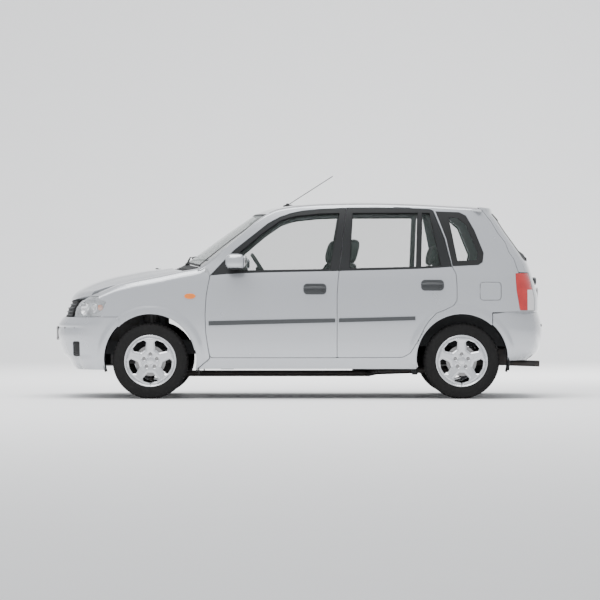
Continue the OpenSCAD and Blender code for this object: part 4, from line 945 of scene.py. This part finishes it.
# ---- Outer trim ----
class HATCH_OT_trim(bpy.types.Operator):
    """Builds the side mouldings, handles, mirrors, wipers, arch liners, mud flaps and the aerial's foot"""
    bl_idname = "hatch.trim"
    bl_label = "Outer trim"

    def execute(self, context):
        line = [[-712, 563, 597], [0, 581, 613], [270, 587, 618], [880, 604, 633]]
        def strip(x0, x1):
            def level(x, z):
                low, high = smooth(x, line), smooth(x, line, 2)
                return np.maximum.reduce([low - z, z - high, x0 - x, x - x1])
            return cut_sheet(side, level, (x0, x1), (555, 640), 6, 9, 10, flip=True)
        front, rear = strip(-700, 270), strip(298, 884)
        for where, parts in (("right", lambda p: p), ("left", mirrored)):
            piece(f"front_moulding_{where}", f"front_door_{where}", "grey_plastic", parts(front), bevel=3.5)
            piece(f"rear_moulding_{where}", f"rear_door_{where}", "grey_plastic", parts(rear), bevel=3.5)
            for name, x, z in (("front", 114, 843), ("rear", 1016, 872)):
                plate = cut_sheet(side, slot_shape(x, z, 176, 84, 30), (x - 92, x + 92), (z - 46, z + 46), 5, 6, 5,
                                  flip=True)
                bar_x = np.linspace(x - 78, x + 78, 16)
                bar = np.array([at_side(a, z + 8 + 3 * np.cos((a - x) / 50), 9 + 17 * (1 - ((a - x) / 82) ** 4))
                                for a in bar_x])
                lock = lathe([(0.5, 0), (10, 0), (10, 4), (8, 5), (0.5, 5)], at_side(x + 58, z - 24, 4), 24)
                piece(f"{name}_handle_{where}", f"{name}_door_{where}", "grey_plastic", parts(plate),
                      parts(tube(bar, 13, 14, 0.75)), parts(lock), bevel=1.5)
            centre = at_side(-500, 1000, 112) + [8, 0, 54]
            tilt = turned("z", 4)
            shell_part = pill(centre, (150, 196, 116), 3.4, 30, 44, tilt)
            foot = np.array([at_side(-508, 1005, -2), at_side(-500, 1010, 25) + [4, 0, 4],
                             at_side(-490, 1012, 60) + [4, 0, 6]])
            piece(f"mirror_shell_{where}", f"front_door_{where}", "paint", parts(shell_part),
                  replaces=(f"mirror_{where}",))
            piece(f"mirror_foot_{where}", f"front_door_{where}", "black_plastic",
                  parts(tube(foot, [34, 26, 24], 18, 0.62)), parts(pill(centre + [0, -8, -50], (120, 170, 22), 3, turn=tilt)))
            face = pill(centre + [74, 0, 0], (8, 166, 92), 4, 20, 40, tilt)
            piece(f"mirror_face_{where}", f"front_door_{where}", "chrome", parts(face))
        lips = []
        for cx, a0, a1 in ((FRONT_X, 12, 193), (REAR_X, -12, 190)):
            a = np.radians(np.linspace(a0, a1, 90))
            r = ARCH_R - 1.5
            x, z = cx + r * np.cos(a), ARCH_Z + r * np.sin(a)
            x, z = x[z > 215], z[z > 215]
            y = np.where((x > -1400) & (x < 1480), side_y(x, z), np.nan)
            ok = ~np.isnan(y)
            path = np.column_stack([x[ok], y[ok] - 9, z[ok]])
            lips.append(tube(path, 8, 8, 0.7, up=(0, 1, 0)))
        piece("arch_lips", "car", "paint", *[q for lip in lips for q in two(lip)])
        liners = []
        for cx, low in ((FRONT_X, 470), (REAR_X, 520)):
            a = np.radians(np.linspace(-16, 196, 90))
            def liner(u, y, cx=cx):
                r = ARCH_R + 9
                return np.stack([cx + r * np.cos(u / 300), y, ARCH_Z + r * np.sin(u / 300)], axis=-1)
            liners.append(grid_sheet(liner, a * 300, np.linspace(low, 772, 12), 3, 0, flip=True))
        piece("arch_liners", "car", "black_plastic", *[q for p in liners for q in two(p)])
        flap_front = pill((-779, 716, 222), (9, 150, 70), 8, 16, 30)
        flap_rear = pill((1604, 716, 262), (9, 150, 90), 8, 16, 30)
        air_dam = pill((884, 650, 216), (46, 150, 66), 6, 16, 30)
        piece("mud_flaps", "car", "black_plastic", *two(flap_front), *two(flap_rear), *two(air_dam))
        w = np.linspace(-985, 985, 60)
        piece("cowl_cover", "car", "black_plastic", grid_sheet(cowl_surface, np.linspace(10, 990, 20), w, 5, 2.5))
        ribs = [tube(cowl_surface(np.full(40, float(u)), np.linspace(-900, 900, 40)) + [0, 0, 4.5], 2.5, 6)
                for u in (300, 420, 540)]
        piece("cowl_ribs", "car", "black_plastic", *ribs)
        wipers = []
        for y0, y1 in ((-330, 190), (250, 650)):
            def glass(y, u, up):
                p = screen_surface(np.array([u * 1000.0]), np.array([y / 700.0 * 1000]))[0]
                return p + np.array([-0.5, 0, 0.85]) * up
            arm = np.array([glass(y0, -0.02, 8), glass(y0 + 30, 0.03, 22), glass((y0 + y1) / 2, 0.075, 24),
                            glass(y1 - 120, 0.1, 15)])
            blade = np.array([glass(y, 0.075 + 0.05 * (y - y0) / (y1 - y0), 9)
                              for y in np.linspace(y0 + 60, y1 + 90, 14)])
            pivot = lathe([(0.5, 0), (14, 0), (14, 12), (9, 18), (0.5, 19)], arm[0] - [0, 0, 8], 20, "z")
            wipers += [tube(arm, [10, 8, 6, 5], 10, 0.6), tube(blade, 5.5, 8), pivot]
        piece("wipers", "car", "black_plastic", *wipers)
        foot = pill((-92, 0, 1501), (84, 36, 26), 2.6, 24, 36)
        piece("aerial_foot", "car", "black_plastic", foot)
        jets = [pill((-1120, s * 260, 1004), (26, 16, 10), 2.6, 14, 20) for s in (-1, 1)]
        piece("washer_jets", "hood", "black_plastic", *jets)
        return {"FINISHED"}


# ---- Wheels ----
class WheelSettings(bpy.types.PropertyGroup):
    """Sizes of the tyres' tread and of the wheels' faces."""
    tread: bpy.props.FloatProperty(name="Tread depth", description="Depth of the tread grooves", unit="LENGTH",
                                   default=0.007, min=0.002, max=0.010)
    blocks: bpy.props.IntProperty(name="Tread blocks", description="Number of blocks round a tyre", default=54,
                                 min=30, max=80)
    dish: bpy.props.FloatProperty(name="Dish", description="How far the wheel's middle stands behind its rim",
                                  unit="LENGTH", default=0.010, min=0.0, max=0.02)


def tyre_part(s):
    """Tyre: its section turned round the axle, less the grooves between the tread blocks."""
    h = TYRE_W / 2
    section = np.array([[RIM_R - 8, -h + 12], [RIM_R + 1, -h + 8], [RIM_R + 7, -h + 1], [RIM_R + 20, -h - 1],
                        [RIM_R + 34, -h - 2], [RIM_R + 50, -h - 1.5], [TYRE_R - 30, -h + 2], [TYRE_R - 18, -h + 7], [TYRE_R - 9, -h + 14]])
    tread_y = np.linspace(-h + 20, h - 20, 33)
    crown = np.column_stack([TYRE_R - 5.5 * (np.abs(tread_y) / (h - 20)) ** 3, tread_y])
    profile = np.concatenate([section, crown, section[::-1] * [1, -1]])
    inner = np.column_stack([np.full(6, RIM_R + 6.0), np.linspace(h - 16, -h + 16, 6)])
    profile = np.concatenate([profile, inner])
    n = s.blocks * 8
    a = np.linspace(0, 2 * np.pi, n, endpoint=False)[:, None]
    r, y = profile[None, :, 0], profile[None, :, 1]
    on_tread = (r > TYRE_R - 12) & (np.abs(y) < h - 10)
    shift = 0.35 * np.abs(y) / h + 0.5 * (y > 0)
    phase = (a / (2 * np.pi) * s.blocks + shift) % 1
    across = (phase < 0.17) & (np.abs(y) > 14)
    ribs = (np.abs(np.abs(y) - 24) < 3) | (np.abs(np.abs(y) - 52) < 3)
    r = r - np.where(on_tread & (across | ribs), s.tread / MM, 0)
    side_rings = 1.2 * ((np.abs(r - (RIM_R + 30)) < 2) | (np.abs(r - (RIM_R + 56)) < 2))
    yy = y + np.sign(y) * side_rings * (np.abs(y) > h - 8)
    yy = np.broadcast_to(yy, (n, profile.shape[0]))
    points = np.stack([r * np.cos(a), yy, r * np.sin(a)], axis=-1).reshape(-1, 3)
    return points, grid_faces(n, profile.shape[0], True, True)


def wheel_face(s):
    """Face with five broad spokes: a shallow dish cut by five rounded windows and five nut seats."""
    base = [[-20, 92], [20, 92], [60, 136], [52, 158], [0, 171], [-52, 158], [-60, 136]]
    windows = []
    for k in range(5):
        a = np.radians(36 + 72 * k)
        c, sn = np.cos(a), np.sin(a)
        # windows lie between the spokes, the first spoke straight up
        poly = np.array(base) @ np.array([[c, sn], [-sn, c]])
        shrunk = inside(poly, -14)
        windows.append(lambda u, v, f=shrunk: f(u, v) - 14)
    seats = [disc(52 * np.sin(np.radians(72 * k)), 52 * np.cos(np.radians(72 * k)), 13) for k in range(5)]
    opening = any_of(*windows)
    solid = both_of(disc(0, 0, RIM_R - 12), outside(opening), outside(any_of(*seats)))
    dish = s.dish / MM
    def face(u, v):
        r = np.hypot(u, v)
        edge = 9 * (1 - ramp(opening(u, v) / 13)) + 5 * (1 - ramp(any_of(*seats)(u, v) / 7))
        y = 69 + dish * (r / 180) ** 2 - edge - 12 * ramp((r - 168) / 18)
        return np.stack([u, y, v], axis=-1)
    part = cut_sheet(face, solid, (-190, 190), (-190, 190), 4.5, 14, 0, flip=True)
    return part


class HATCH_OT_wheels(bpy.types.Operator):
    """Builds the four tyres with their tread and the four wheels with nuts, caps, valves and brake discs"""
    bl_idname = "hatch.wheels"
    bl_label = "Wheels"

    def execute(self, context):
        s = context.scene.hatch_wheels
        tyre, face = tyre_part(s), wheel_face(s)
        h = TYRE_W / 2 - 10
        barrel = lathe([(RIM_R - 9, -h), (RIM_R - 1, -h - 1), (RIM_R, -h - 6), (RIM_R - 5, -h - 8), (RIM_R - 12, -h - 3),
                        (RIM_R - 20, -h + 10), (RIM_R - 24, 0), (RIM_R - 20, h - 10), (RIM_R - 12, h + 3),
                        (RIM_R - 5, h + 8), (RIM_R, h + 6), (RIM_R - 1, h + 1), (RIM_R - 9, h), (RIM_R - 14, h - 12),
                        (RIM_R - 16, 0), (RIM_R - 14, -h + 12)],
                       (0, 0, 0), 120)
        cap = lathe([(0.5, 60), (30, 60), (30, 70), (27, 75), (15, 77.5), (0.5, 78)], (0, 0, 0), 48)
        nuts = [lathe([(0.5, 56), (9.5, 56), (9.5, 66), (7, 69), (0.5, 69)],
                      (52 * np.sin(np.radians(72 * k)), 0, 52 * np.cos(np.radians(72 * k))), 6) for k in range(5)]
        seat = lathe([(34, 52), (70, 52), (70, 57), (34, 57)], (0, 0, 0), 60)
        valve = tube(np.array([[0, 74, -(RIM_R - 22)], [0, 88, -(RIM_R - 30)]]), 3.5, 10)
        rotor = lathe([(40, 18), (118, 18), (118, 30), (60, 30), (60, 44), (40, 44)], (0, 0, 0), 72)
        for name, cx, sgn in (("front_right", FRONT_X, 1), ("front_left", FRONT_X, -1),
                              ("rear_right", REAR_X, 1), ("rear_left", REAR_X, -1)):
            def put(part, cx=cx, sgn=sgn):
                p = part[0] + [cx, WHEEL_Y, TYRE_R]
                return (p, part[1]) if sgn > 0 else mirrored((p, part[1]))
            body = f"wheel_{name}"
            piece(f"tyre_{name}_tread", body, "tyre", put(tyre), replaces=(f"tyre_{name}",), smooth_angle=35)
            piece(f"wheel_{name}_face", body, "alloy", put(face), put(barrel), replaces=(f"rim_{name}",),
                  smooth_angle=50)
            piece(f"wheel_{name}_cap", body, "alloy", put(cap), bevel=1)
            piece(f"wheel_{name}_nuts", body, "steel", *[put(n) for n in nuts], put(seat))
            piece(f"wheel_{name}_valve", body, "black_plastic", put(valve))
            piece(f"wheel_{name}_rotor", body, "disc_steel", put(rotor), bevel=1)
        return {"FINISHED"}


# ---- Cabin ----
class CabinSettings(bpy.types.PropertyGroup):
    """Sizes of the seats."""
    crown: bpy.props.FloatProperty(name="Crown", description="Rise of a cushion's middle", unit="LENGTH", default=0.018,
                                   min=0.0, max=0.04)
    channel: bpy.props.FloatProperty(name="Channel", description="Depth of a sewn channel", unit="LENGTH",
                                     default=0.006, min=0.0, max=0.015)


def pad(size, crown, channel, seams, power=5.0, bolster=0.0, n=54, m=108):
    """Stuffed pad round the origin: a rounded block crowned on top, with bolsters at its sides and sewn channels."""
    p, f = pill((0, 0, 0), size, power, n, m)
    x, y, z = p[:, 0] / size[0] * 2, p[:, 1] / size[1] * 2, p[:, 2] / size[2] * 2
    top = np.clip(z, 0, 1)
    lift = crown * (1 - x ** 2) * (1 - np.clip(np.abs(y) / 0.6, 0, 1) ** 2) * top
    lift = lift + bolster * np.exp(-((np.abs(y) - 0.8) / 0.14) ** 2) * top * (1 - x ** 4)
    cut = np.zeros(len(p))
    for axis, at in seams:
        d = (p[:, 1] if axis == "y" else p[:, 0]) - at
        cut += channel * np.exp(-(d / 7) ** 2) * ramp(top * 3)
    q = p.copy()
    q[:, 2] += lift - cut
    q[:, 1] *= 1 - 0.02 * (1 - z ** 2) * (np.abs(y) > 0.9)
    return q, f


def placed_part(part, turn, centre):
    """A part turned and moved."""
    return part[0] @ np.asarray(turn, float).T + np.asarray(centre, float), part[1]


class HATCH_OT_cabin(bpy.types.Operator):
    """Builds the seats, the steering wheel, the dashboard, the carpets, the console and the headlining"""
    bl_idname = "hatch.cabin"
    bl_label = "Cabin"

    def execute(self, context):
        s = context.scene.hatch_cabin
        crown, channel = s.crown / MM, s.channel / MM
        seats = (("left", -250, -360), ("right", -400, 360))
        for name, x, y in seats:
            seams = [("y", -150), ("y", 150), ("x", -120), ("x", 40)]
            cushion = placed_part(pad((500, 500, 128), crown, channel, seams, bolster=22), turned("y", -3),
                                  (x + 252, y, 546))
            stand_turn = turned("y", 14) @ np.array([[0, 0, -1], [0, 1, 0], [1, 0, 0]], float)
            back_seams = [("y", -140), ("y", 140), ("x", -150), ("x", 0), ("x", 150)]
            back = placed_part(pad((500, 460, 112), crown, channel, back_seams, bolster=20), stand_turn,
                               (x + 590, y, 806))
            rest = placed_part(pad((190, 256, 88), 8, 0, [], 3.2), stand_turn, (x + 660, y, 1138))
            a = piece(f"seat_{name}_cushion", "car", "seat_cloth", cushion, replaces=("front_seats",))
            b = piece(f"seat_{name}_back", "car", "seat_cloth", back)
            c = piece(f"seat_{name}_headrest", "car", "seat_cloth", rest)
            posts = [tube(np.array([[x + 632, y + d, 1010], [x + 656, y + d, 1080]]), 6, 10) for d in (-55, 55)]
            piece(f"seat_{name}_posts", "car", "chrome", *posts)
            rails = [pill((x + 250, y + d, 350), (420, 34, 160), 8, 14, 24) for d in (-190, 190)]
            piece(f"seat_{name}_base", "car", "black_plastic", *rails,
                  pill((x + 250, y, 470), (410, 400, 34), 8, 14, 30))
        bench_seams = [("y", -250), ("y", 0), ("y", 250), ("x", -40)]
        bench = placed_part(pad((450, 980, 148), crown, channel, bench_seams, 6, n=54, m=150), turned("y", -2),
                            (786, 0, 536))
        stand_turn = turned("y", 14) @ np.array([[0, 0, -1], [0, 1, 0], [1, 0, 0]], float)
        bench_back = placed_part(pad((440, 980, 104), crown, channel, [("y", -250), ("y", 0), ("y", 250), ("x", 60)], 6,
                                     n=54, m=150), stand_turn, (986, 0, 812))
        a = piece("bench_cushion", "car", "seat_cloth", bench, replaces=("rear_seat",))
        b = piece("bench_back", "car", "seat_cloth", bench_back)
        rests = [placed_part(pad((150, 248, 62), 6, 0, [], 3.2), stand_turn, (1046, y, 1110)) for y in (-275, 275)]
        c = piece("bench_headrests", "car", "seat_cloth", *rests)
        centre, tilt = np.array([-281.0, -370.0, 966.0]), turned("y", 57.6)
        ring_a = np.linspace(0, 2 * np.pi, 97)
        ring_points = np.column_stack([170 * np.cos(ring_a), 170 * np.sin(ring_a), 0 * ring_a])[:-1]
        t = np.linspace(0, 2 * np.pi, 14, endpoint=False)
        ring = (ring_points[:, None] * (1 + 15 / 170 * np.cos(t))[None, :, None]
                + np.stack([0 * t, 0 * t, 15 * np.sin(t)], -1)[None])
        rim_part = (ring.reshape(-1, 3), grid_faces(96, 14, True, True))
        hub = pill((0, 0, -16), (150, 120, 56), 3.2, 24, 40)
        spokes = [tube(np.array([[45 * np.cos(a), 45 * np.sin(a), -22], [110 * np.cos(a), 110 * np.sin(a), -14],
                                 [162 * np.cos(a), 162 * np.sin(a), -2]]), [20, 15, 13], 14, 0.45) for a in np.radians([0, 90, 270])]
        piece("steering_wheel_rim", "steering_wheel", "steering_rim", *[placed_part(p, tilt, centre) for p in
              (rim_part, hub, *spokes)], replaces=("steering_wheel",))
        profile = np.array([[-745, 622], [-745, 940], [-720, 962], [-640, 980], [-540, 976], [-490, 958], [-452, 930],
                            [-434, 880], [-430, 800], [-450, 740], [-480, 690], [-560, 626]])
        u = by_length(np.concatenate([profile, profile[:1]]))
        samples = np.linspace(0, u[-1, 0], 90)[:-1]
        ring = np.column_stack([np.interp(samples, u[:, 0], u[:, 1]), np.interp(samples, u[:, 0], u[:, 2])])
        kernel = np.array([1, 2, 3, 2, 1]) / 9
        ring = np.column_stack([np.convolve(np.concatenate([c[-2:], c, c[:2]]), kernel, "valid") for c in ring.T])
        ys = np.concatenate([[-672, -671], np.linspace(-668, 668, 60), [671, 672]])
        shrink = np.concatenate([[0.02, 0.97], np.ones(60), [0.97, 0.02]])
        mid = ring.mean(0)
        pts = mid + (ring[None] - mid) * shrink[:, None, None]
        across = np.broadcast_to(ys[:, None, None], pts.shape[:2] + (1,))
        pts = np.concatenate([pts[..., :1], across, pts[..., 1:]], axis=-1)
        dash = pts.reshape(-1, 3), grid_faces(len(ys), len(ring), False, True)
        binnacle = pill((-500, -370, 985), (190, 330, 74), 3, 26, 44)
        column = tube(np.array([centre - 300 * tilt[:, 2], centre - 55 * tilt[:, 2]]), 34, 20)
        middle = pill((-452, 0, 870), (64, 210, 170), 6, 24, 44)
        piece("dash_top", "car", "trim_plastic", dash, binnacle, column, replaces=("dashboard",))
        vents = [pill((-436, y, 905), (20, 110, 46), 5, 14, 30) for y in (-600, -130, 130, 600)]
        piece("dash_vents", "car", "black_plastic", *vents, middle)
        console = pill((-260, 0, 330), (560, 150, 120), 6, 24, 44)
        lever = tube(np.array([[-330, 0, 380], [-318, 0, 450], [-310, 0, 520]]), [16, 10, 8], 12)
        knob = pill((-308, 0, 545), (44, 44, 54), 2.4, 20, 28)
        hand = tube(np.array([[-60, 0, 385], [-160, 0, 420], [-240, 0, 450]]), [14, 13, 12], 12)
        piece("console_parts", "car", "trim_plastic", console, lever, knob, hand)
        tunnel = lambda y: 40 * np.exp(-(y / 120) ** 2)
        carpet = lambda x, y: np.stack([x, y, 263 + 3 * np.sin(x / 90) * np.sin(y / 110) + tunnel(y)], -1)
        piece("carpet", "car", "seat_cloth",
              grid_sheet(carpet, np.linspace(-740, 870, 60), np.linspace(-690, 690, 50), 5, 3))
        boot = lambda x, y: np.stack([x, y, 461 + 2 * np.sin(x / 60) * np.sin(y / 70)], -1)
        piece("boot_mat", "car", "seat_cloth",
              grid_sheet(boot, np.linspace(1070, 1740, 30), np.linspace(-505, 505, 30), 4, 3))
        lining = grid_sheet(roof_surface, np.linspace(-300, 1350, 50), np.linspace(-960, 960, 41), 5, -25.5, flip=False)
        piece("headlining", "car", "trim_plastic", lining)
        shelf = pill((1330, 0, 985), (330, 1060, 18), 8, 12, 60)
        piece("parcel_shelf", "car", "trim_plastic", shelf)
        inner = pill((-380, 0, 1345), (40, 220, 62), 3, 20, 34)
        stem = tube(np.array([[-372, 0, 1368], [-340, 0, 1400], [-318, 0, 1424]]), [8, 7, 12], 10)
        piece("inner_mirror", "car", "black_plastic", inner, stem)
        return {"FINISHED"}


# ---- The frame's own nodes and the stage ----
NODE_FINISH = {
    "floor_pan": "floor_paint", "side_frame_left": "under_paint", "side_frame_right": "under_paint",
    "roof_panel": "under_paint", "front_fenders": "under_paint", "front_bumper": "black_plastic",
    "rear_bumper": "black_plastic", "grille": "black_plastic", "cowl": "black_plastic", "hood": "under_paint",
    "tailgate": "under_paint", "front_door_left": "under_paint", "front_door_right": "under_paint",
    "rear_door_left": "under_paint", "rear_door_right": "under_paint", "fuel_flap": "paint",
    "aerial": "black_plastic", "engine_block": "iron", "front_subframe": "black_steel", "rear_axle": "black_steel",
    "fuel_tank": "black_plastic", "exhaust": "black_steel", "front_knuckle_left": "iron", "front_knuckle_right": "iron",
}


class HATCH_OT_nodes(bpy.types.Operator):
    """Gives every node of the frame that stays in sight its finish"""
    bl_idname = "hatch.nodes"
    bl_label = "Frame finishes"

    def execute(self, context):
        for name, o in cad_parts.items():
            made_of = NODE_FINISH.get(name, "trim_plastic")
            o.data.materials.clear()
            o.data.materials.append(finish_of(made_of))
        return {"FINISHED"}


class StageSettings(bpy.types.PropertyGroup):
    """Camera and floor."""
    distance: bpy.props.FloatProperty(name="Camera distance", description="Camera's distance from the car's middle",
                                      unit="LENGTH", default=25.6, min=5, max=60)
    height: bpy.props.FloatProperty(name="Camera height", description="Height of the camera over the floor",
                                    unit="LENGTH", default=0.759, min=0, max=5)
    lens: bpy.props.FloatProperty(name="Lens", description="Focal length in millimetres", default=194, min=20, max=400)
    floor: bpy.props.FloatVectorProperty(name="Floor", description="Colour of the floor", subtype="COLOR", size=3,
                                         min=0, max=1, default=(0.96, 0.96, 0.96))


class HATCH_OT_stage(bpy.types.Operator):
    """Builds the pale floor and backdrop, the soft lights and the camera"""
    bl_idname = "hatch.stage"
    bl_label = "Stage"

    def execute(self, context):
        s = context.scene.hatch_stage
        d = np.concatenate([np.linspace(-60, 14, 12), np.linspace(14.5, 30, 30)])
        rise = np.where(d > 14, 20 * (1 - np.cos(np.clip((d - 14) / 16, 0, 1) * np.pi / 2)), 0)
        x = np.linspace(-60, 60, 30)
        px, pd = np.meshgrid(x, d, indexing="ij")
        pz = np.broadcast_to(rise, px.shape)
        mesh = bpy.data.meshes.new("floor")
        mesh.from_pydata(np.stack([px, pd, pz], -1).reshape(-1, 3).tolist(), [], grid_faces(len(x), len(d)).tolist())
        mesh.shade_smooth()
        FINISHES["floor_pale"] = dict(colour=tuple(s.floor), other=tuple(c * 0.985 for c in s.floor), rough=0.75,
                                      grain=2)
        mesh.materials.append(finish_of("floor_pale"))
        floor = bpy.data.objects.new("floor", mesh)
        bpy.context.scene.collection.objects.link(floor)
        world = bpy.data.worlds.new("studio")
        world.use_nodes = True
        world.node_tree.nodes["Background"].inputs["Color"].default_value = (0.95, 0.97, 1.0, 1)
        world.node_tree.nodes["Background"].inputs["Strength"].default_value = 0.95
        context.scene.world = world
        for name, where, look, size, power in (("key", (-4, -7, 11), (0, 0, 0.6), 8, 800), ("top", (0, 0, 9), (0, 0, 0), 8, 1000),
                                               ("back", (3, 6, 8), (0, 16, 3), 8, 1600)):
            light = bpy.data.lights.new(name, "AREA")
            light.size = size
            light.energy = power
            o = bpy.data.objects.new(name, light)
            o.location = where
            direction = Vector(look) - Vector(where)
            o.rotation_euler = direction.to_track_quat("-Z", "Y").to_euler()
            bpy.context.scene.collection.objects.link(o)
        cam = bpy.data.cameras.new("camera")
        cam.lens = s.lens
        cam.sensor_width = 36
        cam.clip_end = 200
        o = bpy.data.objects.new("camera", cam)
        o.location = (0.0, -s.distance, s.height)
        o.rotation_euler = (np.pi / 2, 0, 0)
        bpy.context.scene.collection.objects.link(o)
        context.scene.camera = o
        return {"FINISHED"}


STEPS = ("nodes", "body", "doors", "tailgate", "glass", "lamps", "bumpers", "trim", "wheels", "cabin", "stage")


class HATCH_PT_panel(bpy.types.Panel):
    """Lists the settings and the builders."""
    bl_idname = "HATCH_PT_panel"
    bl_label = "Hatchback"
    bl_space_type = "VIEW_3D"
    bl_region_type = "UI"
    bl_category = "Hatchback"

    def draw(self, context):
        column = self.layout.column()
        for group in ("hatch_body", "hatch_wheels", "hatch_cabin", "hatch_stage"):
            settings = getattr(context.scene, group)
            for name in settings.__annotations__:
                column.prop(settings, name)
        for step in STEPS:
            column.operator(f"hatch.{step}")


GROUPS = {"hatch_body": BodySettings, "hatch_wheels": WheelSettings, "hatch_cabin": CabinSettings,
          "hatch_stage": StageSettings}
CLASSES = (BodySettings, WheelSettings, CabinSettings, StageSettings, HATCH_OT_nodes, HATCH_OT_body, HATCH_OT_doors,
           HATCH_OT_tailgate, HATCH_OT_glass, HATCH_OT_lamps, HATCH_OT_bumpers, HATCH_OT_trim, HATCH_OT_wheels,
           HATCH_OT_cabin, HATCH_OT_stage, HATCH_PT_panel)


def register():
    """Registers the classes and hangs the settings on the scene."""
    for c in CLASSES:
        bpy.utils.register_class(c)
    for name, group in GROUPS.items():
        setattr(bpy.types.Scene, name, bpy.props.PointerProperty(type=group))


def unregister():
    """Takes the settings and the classes away again."""
    for name in GROUPS:
        delattr(bpy.types.Scene, name)
    for c in reversed(CLASSES):
        bpy.utils.unregister_class(c)


def main():
    """Builds everything in order."""
    register()
    for step in STEPS:
        if getattr(bpy.ops.hatch, step)() != {"FINISHED"}:
            raise RuntimeError(f"hatch.{step} did not finish")


if __name__ == "__main__":
    main()
